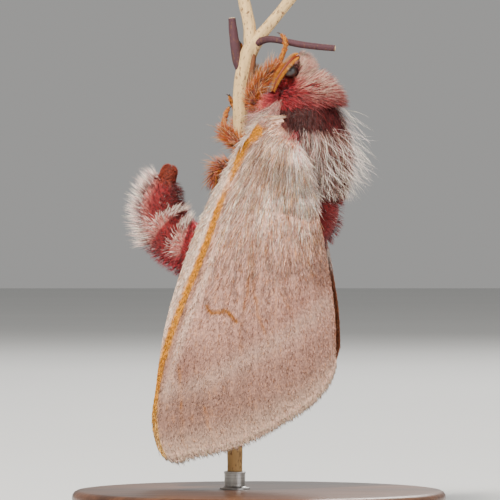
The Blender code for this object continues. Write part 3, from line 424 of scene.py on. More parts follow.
def fore_tint(x, z, u, v):
    """The colour of the forewing's outer side."""
    top = mix(linear(WING_MIDDLE), linear(WING_TOP), smooth_step(z, 24.0, 36.0))
    colour = mix(linear(WING_LOW), top, smooth_step(z, 10.0, 22.0))
    slanted = v - 0.5 * u * (1.0 - v)
    streaks = cloud(u, slanted + 0.5, 16, 90, 1)
    grain = cloud(u, slanted + 0.5, 90, 160, 2)
    colour = colour * (1.0 + 0.16 * streaks + 0.22 * grain + 0.05 * cloud(u, v, 9, 7, 3))[:, None]
    colour = mix(colour, linear(GOLDEN), 0.35 * smooth_step(streaks, 0.6, 0.95))
    freckles = smooth_step(cloud(u, slanted + 0.5, 48, 90, 6), 0.62, 0.82)
    colour = mix(colour, linear(FRECKLE), freckles * (0.15 + 0.5 * smooth_step(0.7 - u, 0.0, 0.4)))
    band = line_distance(x, z, PALE_BAND)
    above = line_distance(x, z - 2.4, PALE_BAND)
    below = line_distance(x, z + 3.6, PALE_BAND)
    uneven = 1.0 + 0.5 * cloud(u, v, 5, 12, 4)
    colour = mix(colour, linear(WING_DUSKY), 0.42 * uneven * np.exp(-(above / 1.5) ** 2))
    colour = mix(colour, linear(WING_DUSKY), 0.24 * uneven * np.exp(-(below / 1.8) ** 2))
    colour = mix(colour, linear(WING_PALE), 0.55 * np.exp(-(band / 0.95) ** 2))
    smudge = ((x - SMUDGE[0]) / 0.6) ** 2 + ((z - SMUDGE[1]) / 1.4) ** 2
    colour = mix(colour, linear(WING_DUSKY), 0.6 * np.exp(-smudge))
    # Painted shade: brown beside the inner edge, where the wing turns away over the ridge
    colour = mix(colour, linear(INNER_SHADE_BROWN), 0.7 * inner_shade(z, v))
    # Painted shade: the sheet turns dark brown-red at its root, where it meets the thorax under the hair
    rooted = smooth_step(0.05 - u, 0.0, 0.03) * smooth_step(v, 0.15, 0.35)
    colour = mix(colour, linear(BROWN_RED), 0.85 * rooted)
    near = np.full(len(u), 9.0)
    for points in VEIN_LINES:
        near = np.minimum(near, line_distance(x + 0.12 * cloud(u, v, 40, 30, 7), z, points))
    broken = 0.35 + 0.65 * smooth_step(cloud(u, v, 44, 16, 5), -0.4, 0.3)
    colour = mix(colour, linear(VEIN_BROWN), 0.75 * broken * np.exp(-(near / 0.15) ** 2))
    line = line_distance(x, z, ORANGE_LINE)
    rows = np.array(ORANGE_LINE)[::-1]
    before = x < np.interp(z, rows[:, 1], rows[:, 0])
    beside = np.where(before, 0.85 * smooth_step(line, 0.25, 0.55), 0.50 * np.exp(-((line - 1.2) / 0.5) ** 2))
    beside = beside * smooth_step(0.25 - v, 0.0, 0.05) * smooth_step(0.9 - u, 0.0, 0.3)
    colour = mix(colour, linear(COSTA_PALE), beside)
    # Painted shade: a dark line along the orange line, left of it at the hook where a groove lies, and fainter
    # right of it further down
    shaded = np.where(before, smooth_step(z, 37.0, 38.5), 0.5 * smooth_step(z, 12.0, 20.0))
    edge = 0.62 + 0.24 * smooth_step(z, 36.5, 38.5)
    colour = mix(colour, linear(ORANGE_SHADE_AND_SPECK), shaded * np.exp(-((line - edge) / 0.2) ** 2))
    orange = mix(linear(ORANGE_PALE), linear(ORANGE), smooth_step(z, 7.0, 15.0))
    colour = mix(colour, orange, orange_share(x, z))
    arc = line_distance(x, z, DISCAL_ARC)
    colour = mix(colour, linear(DISCAL), np.exp(-(arc / 0.21) ** 4))
    return mix(colour, linear(MARGIN_PALE), 0.75 * smooth_step(u, 0.87, 0.985))


def under_tint(x, z, u, v):
    """The colour of the forewing's inner side."""
    colour = mix(linear(UNDER_WING), linear(WING_LOW), smooth_step(u, 0.3, 0.95))
    colour = mix(colour, linear(UNDER_RED), smooth_step(v, 0.5, 0.9))
    silver = np.exp(-((z - 28.4) / 1.5) ** 2) * smooth_step(v, 0.86, 0.93)
    colour = mix(colour, linear(WHITE_HAIR), 0.9 * silver)
    return mix(colour, linear(ORANGE), 0.7 * smooth_step(0.05 - v, 0.0, 0.03))


def hind_tint(x, z, u, v):
    """The colour of both sides of the hindwing."""
    colour = mix(linear(ROSE), linear(WING_PALE), smooth_step(u, 0.08, 0.45))
    band = np.exp(-((u - 0.72 - 0.06 * np.sin(3.0 * v)) / 0.05) ** 2)
    colour = mix(colour, linear(WING_DUSKY), 0.55 * band)
    return mix(colour, linear(FRINGE), 0.7 * smooth_step(u, 0.95, 0.985))


# Meshes from arrays

def mesh_from_arrays(name, places, faces, tint=None, uv=None):
    """An object from places in millimetres and rows of three or four corners."""
    corners = faces.shape[1]
    mesh = bpy.data.meshes.new(name)
    mesh.vertices.add(len(places))
    mesh.vertices.foreach_set("co", np.ascontiguousarray(places * MM, dtype=np.float32).ravel())
    mesh.loops.add(faces.size)
    mesh.loops.foreach_set("vertex_index", np.ascontiguousarray(faces, dtype=np.int32).ravel())
    mesh.polygons.add(len(faces))
    mesh.polygons.foreach_set("loop_start", np.arange(0, faces.size, corners, dtype=np.int32))
    mesh.update(calc_edges=True)
    mesh.validate()
    if uv is not None:
        layer = mesh.uv_layers.new(name="OFBake")
        values = uv if len(uv) == faces.size else uv[faces.ravel()]
        layer.data.foreach_set("uv", np.ascontiguousarray(values, dtype=np.float32).ravel())
    if tint is not None:
        layer = mesh.color_attributes.new(name="tint", type="FLOAT_COLOR", domain="POINT")
        colour = np.column_stack([tint, np.ones(len(tint))])
        layer.data.foreach_set("color", np.ascontiguousarray(colour, dtype=np.float32).ravel())
    mesh.shade_smooth()
    made = bpy.data.objects.new(name, mesh)
    bpy.context.scene.collection.objects.link(made)
    return made


def finish_piece(piece, finish, replaced=()):
    """Give a piece its material, attach it to the root body, and hide the CAD nodes that it stands for."""
    piece.data.materials.append(finish)
    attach(piece, "root")
    if replaced:
        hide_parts(*replaced)
    return piece


def chance(count):
    """Random shares from 0 to 1."""
    return rng.uniform(0.0, 1.0, count)


def mirrored(points, side):
    """Rows of (x, y, z, radius) on one side of the body."""
    return [(x, side * y, z, radius) for x, y, z, radius in points]


def grid_of(first, second):
    """All pairs of two rows of values, as two flat arrays."""
    return [grid.ravel() for grid in np.meshgrid(first, second, indexing="ij")]


def stacked(parts):
    """Several parts, each of places, faces and more columns, as one."""
    starts = np.cumsum([0] + [len(part[0]) for part in parts[:-1]])
    faces = [part[1] + start for part, start in zip(parts, starts)]
    more = [np.vstack(column) for column in list(zip(*parts))[2:]]
    return [np.vstack([part[0] for part in parts]), np.vstack(faces), *more]


def cross_axes(directions):
    """The dorsal and the left direction across a line."""
    left = unit(np.array([0.0, -1.0, 0.0]) + directions * directions[:, 1:2])
    return np.cross(left, directions), left


def grid_faces(rows, columns, start=0, flip=False, closed=False):
    """Four-cornered faces of a grid of points, joined round its columns if closed."""
    row, column = grid_of(np.arange(rows - 1), np.arange(columns if closed else columns - 1))
    following = (column + 1) % columns
    faces = np.column_stack([row * columns + column, row * columns + following,
                             (row + 1) * columns + following, (row + 1) * columns + column])
    if flip:
        faces = faces[:, ::-1]
    return faces + start


def sweep(rows, sides, shape=None):
    """Places, faces and own (u, v) of a tube through rows of (x, y, z, radius), closed at both ends."""
    dorsal, left = cross_axes(unit(np.gradient(rows[:, :3], axis=0)))
    turn = np.linspace(0.0, TURN, sides, endpoint=False)
    out = np.cos(turn)[None, :, None] * dorsal[:, None] + np.sin(turn)[None, :, None] * left[:, None]
    radius = np.repeat(rows[:, 3:4], sides, axis=1)
    if shape is not None:
        radius = radius * shape(np.linspace(0.0, 1.0, len(rows))[:, None], turn[None, :])
    places = rows[:, None, :3] + out * radius[:, :, None]
    caps = np.vstack([rows[0, :3], rows[-1, :3]])
    count = len(rows) * sides
    walls = triangles_of(grid_faces(len(rows), sides, closed=True))
    ring = np.arange(sides)
    following = (ring + 1) % sides
    last = (len(rows) - 1) * sides
    start_cap = np.column_stack([following, ring, np.full(sides, count)])
    end_cap = np.column_stack([last + ring, last + following, np.full(sides, count + 1)])
    around = np.column_stack(grid_of(np.linspace(0.0, 1.0, len(rows)), turn / TURN))
    own = np.vstack([around, [[0.0, 0.5], [1.0, 0.5]]])
    return np.vstack([places.reshape(-1, 3), caps]), np.vstack([walls, start_cap, end_cap]), own


def triangles_of(quads):
    """Two triangles for each four-cornered face."""
    return np.vstack([quads[:, [0, 1, 2]], quads[:, [0, 2, 3]]])


def place_round(rows, share, degrees):
    """Places on a tube, with their outward and backward directions. 0 degrees is the back, 90 the left."""
    at = share * (len(rows) - 1)
    index = np.minimum(at.astype(int), len(rows) - 2)
    rest = (at - index)[:, None]
    row = rows[index] * (1.0 - rest) + rows[index + 1] * rest
    directions = unit(np.gradient(rows[:, :3], axis=0))
    back = unit(directions[index] * (1.0 - rest) + directions[index + 1] * rest)
    dorsal, left = cross_axes(back)
    turn = np.radians(degrees)[:, None]
    out = np.cos(turn) * dorsal + np.sin(turn) * left
    return row[:, :3] + out * row[:, 3:4], out, back


def gathered(line, root, locks, strength):
    """Tufts drawn together towards the middle of the lock that they belong to."""
    seeds = root[rng.choice(len(root), locks, replace=False)]
    nearest = np.argmin(((root[:, None] - seeds[None]) ** 2).sum(axis=2), axis=1)
    total = np.zeros((locks, *line.shape[1:]))
    np.add.at(total, nearest, line)
    middle = total / np.maximum(np.bincount(nearest, minlength=locks), 1)[:, None, None]
    t = np.linspace(0.0, 1.0, line.shape[1])[None, :, None]
    return line + (middle[nearest] - line) * strength * t ** 1.4


def tuft_corners(line, out, width, flat):
    """The points of three-sided tapering tufts round their centre lines."""
    count, rings = line.shape[0], line.shape[1] - 1
    ahead = np.empty_like(line[:, :rings])
    ahead[:, 0] = line[:, 1] - line[:, 0]
    for ring in range(1, rings):
        ahead[:, ring] = line[:, ring + 1] - line[:, ring - 1]
    ahead = unit(ahead)
    across = unit(np.cross(ahead, np.repeat(out[:, None], rings, axis=1)))
    upward = np.cross(across, ahead)
    stations = np.linspace(0.0, 1.0, rings + 1)[:rings]
    taper = (0.62 + 0.75 * stations - 1.2 * stations ** 2)[None, :, None]
    half = 0.5 * width[:, None, None] * taper
    shapes = [-across * half - upward * half * flat, across * half - upward * half * flat,
              upward * half * 1.6 * flat]
    corners = np.stack([line[:, :rings] + shape for shape in shapes], axis=2)
    return np.concatenate([corners.reshape(count, rings * 3, 3), line[:, rings:]], axis=1)


def tuft_faces(rings):
    """The triangles of one tuft."""
    local = []
    for ring in range(rings - 1):
        for k in range(3):
            a, b = ring * 3 + k, ring * 3 + (k + 1) % 3
            local += [(a, b, b + 3), (a, b + 3, a + 3)]
    last = (rings - 1) * 3
    local += [(last + k, last + (k + 1) % 3, last + 3) for k in range(3)]
    return np.array(local + [(2, 1, 0)])


def tuft_mesh(name, root, out, lie, length, width, tints, uv, lift=0.15, sag=0.0, curl=0.1, rings=3,
              push=None, flat=0.45, sink=0.12, shades=(0.80, 1.12), locks=0, gather=0.5):
    """One mesh of tapered three-sided tufts that leave the skin along out and bend to their lie."""
    count = len(root)
    length = np.broadcast_to(length, count)[:, None, None]
    width = np.broadcast_to(width, count)
    lift = np.broadcast_to(lift, count)[:, None, None]
    sag = np.broadcast_to(sag, count)[:, None, None]
    t = np.linspace(0.0, 1.0, rings + 1)[None, :, None]
    side = unit(np.cross(lie, out))[:, None]
    wave = rng.normal(0.0, 1.0, (count, 1, 1)) * curl
    rise = lift * length * np.sin(0.5 * math.pi * np.minimum(1.3 * t, 1.0)) - sink * (1.0 - t)
    line = root[:, None] + lie[:, None] * (length * t) + out[:, None] * rise
    line = line + side * (wave * length * t ** 2) + np.array([0.0, 0.0, -1.0]) * (sag * length * t ** 2)
    if locks:
        line = gathered(line, root, locks, gather)
    if push is not None:
        line = push(line)
    places = tuft_corners(line, out, width, flat)
    faces = (tuft_faces(rings)[None] + (np.arange(count) * (rings * 3 + 1))[:, None, None]).reshape(-1, 3)
    shade = np.concatenate([np.repeat(np.linspace(0.0, 1.0, rings + 1)[:rings], 3), [1.0]])
    colour = blend_tints(tints, shade)
    colour = colour * rng.uniform(*shades, (count, 1, 1))
    spread = np.array([(-0.5, s) for s in shade])
    spread[1::3, 0] = 0.5
    spread[2::3, 0] = 0.0
    spread[-1, 0] = 0.0
    patches = np.clip(uv[:, None] + TUFT_PATCH * (spread[None] - np.array([0.0, 0.5])), 0.0, 1.0)
    return mesh_from_arrays(name, places.reshape(-1, 3), faces, colour.reshape(-1, 3), patches.reshape(-1, 2))


def blend_tints(tints, shade):
    """Colours down each tuft: from its root over its middle to its tip."""
    root, middle, tip = tints
    lower = np.clip(shade * 2.0, 0.0, 1.0)[None, :, None]
    upper = np.clip(shade * 2.0 - 1.0, 0.0, 1.0)[None, :, None]
    colour = root[:, None] * (1.0 - lower) + middle[:, None] * lower
    return colour * (1.0 - upper) + tip[:, None] * upper


def mottled(colour, strength=1.0):
    """Colours with the differences between single scales."""
    hue = np.array(SCALE_HUES)[rng.choice(len(SCALE_HUES), len(colour), p=SCALE_SHARES)]
    return np.clip(colour * (1.0 + (hue - 1.0) * strength), 0.0, 1.0)


def same(colour, count):
    """One screen colour for each of a number of tufts."""
    return np.repeat(linear(colour)[None], count, axis=0)


def vary(colour, amount=0.06):
    """Colours with a little difference from one tuft to the next."""
    return np.clip(colour * rng.normal(1.0, amount, colour.shape), 0.0, 1.0)


# Materials

def node_material(name):
    """A new material, its node tree and its shader."""
    made = bpy.data.materials.new(name)
    made.use_nodes = True
    return made, made.node_tree, made.node_tree.nodes["Principled BSDF"]


def link(tree, source, target):
    tree.links.new(source, target)


def noise(tree, vector, scale, detail=3.0, rough=0.55):
    """A noise texture's value."""
    node = tree.nodes.new("ShaderNodeTexNoise")
    node.inputs["Scale"].default_value = scale
    node.inputs["Detail"].default_value = detail
    node.inputs["Roughness"].default_value = rough
    link(tree, vector, node.inputs["Vector"])
    return node.outputs["Fac"]


def scaled(tree, vector, scale):
    """A vector with each of its parts scaled."""
    node = tree.nodes.new("ShaderNodeMapping")
    node.inputs["Scale"].default_value = scale
    link(tree, vector, node.inputs["Vector"])
    return node.outputs["Vector"]


def ramp(tree, value, low, high, first=0.0, last=1.0):
    """A value mapped from one range to another."""
    node = tree.nodes.new("ShaderNodeMapRange")
    node.inputs["From Min"].default_value = low
    node.inputs["From Max"].default_value = high
    node.inputs["To Min"].default_value = first
    node.inputs["To Max"].default_value = last
    link(tree, value, node.inputs["Value"])
    return node.outputs["Result"]


def times(tree, colour, value):
    """A colour multiplied by a grey value."""
    node = tree.nodes.new("ShaderNodeVectorMath")
    node.operation = "SCALE"
    link(tree, colour, node.inputs[0])
    link(tree, value, node.inputs["Scale"])
    return node.outputs["Vector"]


def blend_colours(tree, first, second, share):
    """Two colours mixed by a value."""
    node = tree.nodes.new("ShaderNodeMix")
    node.data_type = "RGBA"
    link(tree, share, node.inputs[0])
    for socket, colour in ((node.inputs[6], first), (node.inputs[7], second)):
        if isinstance(colour, tuple):
            socket.default_value = (*linear(colour), 1.0)
        else:
            link(tree, colour, socket)
    return node.outputs[2]


def tint_of(tree):
    """The colour that a mesh carries at each of its points."""
    node = tree.nodes.new("ShaderNodeAttribute")
    node.attribute_name = "tint"
    return node.outputs["Color"]


def bump(tree, shader, height, strength, distance):
    """Relief from a height value."""
    node = tree.nodes.new("ShaderNodeBump")
    node.inputs["Strength"].default_value = strength
    node.inputs["Distance"].default_value = distance
    link(tree, height, node.inputs["Height"])
    link(tree, node.outputs["Normal"], shader.inputs["Normal"])


def coordinates(tree, output):
    """Object or UV coordinates."""
    node = tree.nodes.new("ShaderNodeTexCoord")
    return node.outputs[output]


def hair_material(name, roughness, sheen, speck=0.25):
    """Silky hair: the mesh's colour with fine differences from strand to strand."""
    made, tree, shader = node_material(name)
    where = coordinates(tree, "Object")
    strands = noise(tree, where, 5200.0, 2.0)
    level = ramp(tree, strands, 0.3, 0.7, 1.0 - speck, 1.0 + speck)
    link(tree, times(tree, tint_of(tree), level), shader.inputs["Base Color"])
    link(tree, ramp(tree, strands, 0.3, 0.7, roughness - 0.08, roughness + 0.08), shader.inputs["Roughness"])
    shader.inputs["Sheen Weight"].default_value = sheen
    shader.inputs["Sheen Roughness"].default_value = 0.5
    shader.inputs["Specular IOR Level"].default_value = 0.28
    return made


def wing_material(name):
    """Wing sheet under its scales: fine streaks from root to margin, which darken it as painted shade where it
    shows between the scales, and a felt of scales between.
    """
    made, tree, shader = node_material(name)
    flat = coordinates(tree, "UV")
    streaks = noise(tree, scaled(tree, flat, (95.0, 430.0, 1.0)), 1.0, 3.0)
    clumps = noise(tree, scaled(tree, flat, (9.0, 60.0, 1.0)), 1.0, 2.0)
    scales = noise(tree, coordinates(tree, "Object"), 4200.0, 2.0)
    # The streaks darken the sheet down to half: painted shade in the gaps between the scales
    level = ramp(tree, streaks, 0.32, 0.68, 0.50, 1.0)
    cloud = ramp(tree, clumps, 0.3, 0.7, 0.93, 1.07)
    fine = ramp(tree, scales, 0.3, 0.7, 0.74, 1.20)
    colour = times(tree, times(tree, times(tree, tint_of(tree), level), cloud), fine)
    colour = blend_colours(tree, colour, (188, 132, 84), ramp(tree, scales, 0.58, 0.72, 0.0, 0.35))
    link(tree, colour, shader.inputs["Base Color"])
    link(tree, ramp(tree, streaks, 0.2, 0.8, 0.72, 0.92), shader.inputs["Roughness"])
    shader.inputs["Sheen Weight"].default_value = 0.08
    shader.inputs["Sheen Roughness"].default_value = 0.6
    shader.inputs["Specular IOR Level"].default_value = 0.25
    bump(tree, shader, streaks, 0.5, 0.00008)
    return made


def skin_material(name):
    """Body skin at the roots of the hair: the mesh's colour, broken up by felt-like relief."""
    made, tree, shader = node_material(name)
    where = coordinates(tree, "Object")
    felt = noise(tree, where, 2600.0, 4.0)
    broken = times(tree, tint_of(tree), ramp(tree, felt, 0.25, 0.75, 0.55, 1.25))
    link(tree, broken, shader.inputs["Base Color"])
    link(tree, ramp(tree, felt, 0.2, 0.8, 0.75, 0.95), shader.inputs["Roughness"])
    shader.inputs["Sheen Weight"].default_value = 0.2
    bump(tree, shader, felt, 0.7, 0.00012)
    return made


def chitin_material(name, colour, rough):
    """Horny skin of claws and of the antennae's shafts."""
    made, tree, shader = node_material(name)
    where = coordinates(tree, "Object")
    grain = noise(tree, where, 3000.0, 3.0)
    base = blend_colours(tree, tuple(0.7 * value for value in colour), colour, ramp(tree, grain, 0.3, 0.7))
    link(tree, base, shader.inputs["Base Color"])
    link(tree, ramp(tree, grain, 0.2, 0.8, rough - 0.1, rough + 0.1), shader.inputs["Roughness"])
    shader.inputs["Coat Weight"].default_value = 0.15
    bump(tree, shader, grain, 0.25, 0.00003)
    return made


def eye_material():
    """Compound eye: many small domes, nearly black with a warm brown depth."""
    made, tree, shader = node_material("compound_eye")
    where = coordinates(tree, "Object")
    cells = tree.nodes.new("ShaderNodeTexVoronoi")
    cells.inputs["Scale"].default_value = 15000.0
    cells.inputs["Randomness"].default_value = 0.25
    link(tree, where, cells.inputs["Vector"])
    near = cells.outputs["Distance"]
    patches = noise(tree, where, 1400.0, 2.0)
    colour = blend_colours(tree, (20, 12, 10), (66, 36, 24), ramp(tree, patches, 0.35, 0.75))
    dark = ramp(tree, near, 0.25, 0.6, 1.0, 0.45)
    link(tree, times(tree, colour, dark), shader.inputs["Base Color"])
    link(tree, ramp(tree, near, 0.0, 0.6, 0.12, 0.35), shader.inputs["Roughness"])
    shader.inputs["Coat Weight"].default_value = 0.6
    shader.inputs["Coat Roughness"].default_value = 0.12
    bump(tree, shader, ramp(tree, near, 0.0, 0.6, 1.0, 0.0), 0.5, 0.00002)
    return made


def bark_material():
    """Dry pale stem with lengthwise fibres, dark specks and a few lenticels."""
    made, tree, shader = node_material("dry_stem_bark")
    where = coordinates(tree, "Object")
    fibres = noise(tree, scaled(tree, where, (2600.0, 2600.0, 240.0)), 1.0, 4.0)
    specks = noise(tree, scaled(tree, where, (4200.0, 4200.0, 2100.0)), 1.0, 2.0)
    blotch = noise(tree, where, 420.0, 3.0)
    spots = tree.nodes.new("ShaderNodeTexVoronoi")
    spots.inputs["Scale"].default_value = 900.0
    link(tree, where, spots.inputs["Vector"])
    colour = times(tree, tint_of(tree), ramp(tree, fibres, 0.25, 0.75, 0.78, 1.15))
    colour = times(tree, colour, ramp(tree, blotch, 0.3, 0.7, 0.86, 1.08))
    colour = blend_colours(tree, colour, (92, 62, 44), ramp(tree, specks, 0.57, 0.66, 0.0, 0.8))
    colour = blend_colours(tree, (120, 84, 58), colour, ramp(tree, spots.outputs["Distance"], 0.05, 0.14))
    link(tree, colour, shader.inputs["Base Color"])
    link(tree, ramp(tree, fibres, 0.2, 0.8, 0.65, 0.9), shader.inputs["Roughness"])
    shader.inputs["Specular IOR Level"].default_value = 0.3
    bump(tree, shader, fibres, 0.6, 0.00008)
    return made


def cut_wood_material():
    """Pale cut face of a shoot: rings round a darker pith."""
    made, tree, shader = node_material("cut_stem_end")
    where = coordinates(tree, "Object")
    grain = noise(tree, where, 3500.0, 3.0)
    link(tree, blend_colours(tree, (176, 142, 98), (222, 200, 158), ramp(tree, grain, 0.3, 0.7)),
         shader.inputs["Base Color"])
    link(tree, ramp(tree, grain, 0.2, 0.8, 0.7, 0.9), shader.inputs["Roughness"])
    bump(tree, shader, grain, 0.5, 0.00005)
    return made


def base_material():
    """Dark turned wood with long grain under a satin varnish."""
    made, tree, shader = node_material("dark_base_wood")
    where = coordinates(tree, "Object")
    warp = noise(tree, scaled(tree, where, (30.0, 160.0, 160.0)), 1.0, 3.0)
    pores = noise(tree, scaled(tree, where, (120.0, 2600.0, 2600.0)), 1.0, 3.0)
    colour = blend_colours(tree, (58, 34, 22), (112, 70, 44), ramp(tree, warp, 0.3, 0.7))
    colour = times(tree, colour, ramp(tree, pores, 0.3, 0.6, 0.65, 1.05))
    link(tree, colour, shader.inputs["Base Color"])
    link(tree, ramp(tree, pores, 0.3, 0.7, 0.45, 0.3), shader.inputs["Roughness"])
    shader.inputs["Coat Weight"].default_value = 0.35
    shader.inputs["Coat Roughness"].default_value = 0.25
    bump(tree, shader, pores, 0.2, 0.00008)
    return made


def metal_material():
    """Brushed steel rod with fine rings round it."""
    made, tree, shader = node_material("brushed_rod")
    where = coordinates(tree, "Object")
    brush = noise(tree, scaled(tree, where, (300.0, 300.0, 9000.0)), 1.0, 2.0)
    link(tree, blend_colours(tree, (150, 148, 144), (186, 184, 180), ramp(tree, brush, 0.3, 0.7)),
         shader.inputs["Base Color"])
    link(tree, ramp(tree, brush, 0.2, 0.8, 0.28, 0.45), shader.inputs["Roughness"])
    shader.inputs["Metallic"].default_value = 1.0
    bump(tree, shader, brush, 0.15, 0.00003)
    return made


def floor_material():
    """Pale matt floor with a trace of unevenness."""
    made, tree, shader = node_material("pale_floor")
    where = coordinates(tree, "Object")
    cloud = noise(tree, where, 6.0, 2.0)
    link(tree, blend_colours(tree, (206, 207, 206), (214, 215, 214), cloud), shader.inputs["Base Color"])
    shader.inputs["Roughness"].default_value = 0.9
    return made


# Body

BODY_ROWS = smooth_line(HEAD + THORAX + ABDOMEN + TIP, 420)


def share_at(row):
    """The share of the body's line that lies nearest to one of its rows."""
    away = np.linalg.norm(BODY_ROWS[:, :3] - np.array(row[:3]), axis=1)
    return float(np.argmin(away)) / (len(BODY_ROWS) - 1)


NECK = share_at(HEAD[-1])
THORAX_START = share_at(THORAX[0])
THORAX_END = share_at(THORAX[-1])
ABDOMEN_END = share_at(ABDOMEN[-1])
TIP_START = share_at(TIP[0])
BANDS = 8               # pairs of a red and a pale band round the abdomen


def along_abdomen(share):
    """0 where the abdomen leaves the thorax and 1 where its bare tip starts."""
    return (share - THORAX_END) / (ABDOMEN_END - THORAX_END)


def band_phase(share, degrees=90.0):
    """Where a place of the abdomen lies in its pair of bands, from 0 to 1. The last bands slant."""
    along = along_abdomen(share)
    slant = 0.30 * np.cos(np.radians(degrees)) * smooth_step(along, 0.55, 0.80)
    return (along * BANDS + slant) % 1.0


def pale_ring(share, degrees):
    """1 where the abdomen's hair is pale and 0 where it is red."""
    along = along_abdomen(share)
    ring = smooth_step(band_phase(share, degrees), 0.54, 0.64) * smooth_step(along, 0.24, 0.27)
    ring = ring * (1.0 - smooth_step(along, 0.895, 0.92))
    bend = smooth_step(along, 0.60, 0.66) * smooth_step(0.80 - along, 0.0, 0.04)
    ring = ring * (1.0 - bend * smooth_step(np.abs(degrees), 75.0, 45.0))
    outer = smooth_step(np.abs(degrees), 70.0, 35.0) * smooth_step(along, 0.80, 0.86)
    return np.maximum(ring, 0.85 * outer)


def body_tint(share, degrees):
    """The colour of the skin under the body's hair."""
    rose = mix(linear(DARK_RED), linear(RED_HAIR), 0.6)
    pale = mix(rose, linear(PINK_HAIR), 0.5 * pale_ring(share, (degrees + 180.0) % 360.0 - 180.0))
    colour = mix(linear(DARK_RED), pale, smooth_step(share, THORAX_END - 0.01, THORAX_END + 0.02))
    return mix(colour, linear(TIP_BROWN), smooth_step(share, ABDOMEN_END, ABDOMEN_END + 0.02))


def build_body(skin):
    """One skin from the crown of the head to the tip of the abdomen, with the palps."""
    rows = BODY_ROWS.copy()
    rows[:, 3] *= 0.97
    waist = band_phase(np.linspace(0.0, 1.0, len(rows)))
    in_abdomen = smooth_step(np.linspace(0.0, 1.0, len(rows)), THORAX_END, THORAX_END + 0.03)
    rows[:, 3] *= 1.0 - 0.05 * in_abdomen * (1.0 - np.sin(math.pi * waist)) ** 2
    places, faces, own = sweep(rows, BODY_SIDES)
    parts = [(places, faces, body_tint(own[:, 0], 360.0 * own[:, 1]), 0.01 + 0.98 * own)]
    for side in (-1.0, 1.0):
        places, faces, own = sweep(smooth_line(mirrored(PALP, side), 14), 16)
        parts.append((places, faces, same(BROWN_RED, len(places)), 0.01 + 0.01 * own))
    piece = mesh_from_arrays("body_skin", *stacked(parts))
    lengths = [f"abdomen_{number}" for number in range(1, 6)]
    finish_piece(piece, skin, ["head", "thorax", "abdomen_tip", *lengths])


def over_wing(line):
    """Push points that lie over the folded forewings out to the wings' outer faces."""
    x, y, z = line[..., 0], line[..., 1], line[..., 2]
    fore = np.array(COSTA)[::-1]
    hind = np.array([ROOT_FRONT, *INNER])[::-1]
    front = np.interp(z, fore[:, 1], fore[:, 0])
    edge = np.interp(z, hind[:, 1], hind[:, 0])
    v = np.clip((x - front) / np.maximum(edge - front, 0.5), 0.0, 1.0)
    top = ROOT_FRONT[1] + v * (ROOT_BACK[1] - ROOT_FRONT[1])
    low = APEX[1] + v * (TORNUS[1] - APEX[1])
    u = np.clip((top - z) / (top - low), 0.0, 1.0)
    inside = smooth_step(edge + 1.0 - x, 0.0, 1.0) * smooth_step(z, 43.4, 42.2)
    need = (wing_offset(x, z, u, RIDGE_X) + 0.18) * inside
    side = np.where(y > 0.0, 1.0, -1.0)
    pushed = line.copy()
    pushed[..., 1] = side * np.maximum(side * y, need)
    pushed[:, 0] = line[:, 0]
    return pushed


def away_from_eyes(root, margin):
    """True where a root keeps clear of both eyes."""
    keep = np.ones(len(root), dtype=bool)
    for side in (-1.0, 1.0):
        centre = np.array([EYE_CENTRE[0], side * EYE_CENTRE[1], EYE_CENTRE[2]])
        keep &= np.linalg.norm(root - centre, axis=1) > EYE_RADIUS + margin
    return keep


def body_tufts(name, count, shares, degrees, lie_of, length_of, tint_of_root, finish, slot, kept=None,
               **shape):
    """Tufts strewn over a stretch of the body. Their lie, length and colours are functions of the place."""
    share = rng.uniform(*shares, count)
    turned = rng.uniform(*degrees, count)
    root, out, back = place_round(BODY_ROWS, share, turned)
    keep = away_from_eyes(root, 0.05)
    if kept is not None:
        keep &= kept(root, turned)
    share, turned, root, out, back = share[keep], turned[keep], root[keep], out[keep], back[keep]
    lie = unit(lie_of(root, out, back, turned) + rng.normal(0.0, 0.09, root.shape))
    length = length_of(root, share, turned) * rng.uniform(0.75, 1.2, len(root))
    tints = tint_of_root(root, share, turned)
    uv = np.column_stack([0.01 + 0.98 * share, 0.01 + 0.98 * (turned % 360.0) / 360.0])
    piece = tuft_mesh(name, root, out, lie, length, tints=tints, uv=uv, **shape)
    return finish_piece(piece, finish)


def mane_zone(root, turned):
    """1 in the dark, short-haired saddle on the sides of the mane's front part, 0 elsewhere. Its darkness is
    partly the hair's own dark red and partly the painted shadow of a leaf that is not built.
    """
    return smooth_step(root[:, 2], 41.5, 42.5) * smooth_step(np.abs(turned), 7.0, 20.0)


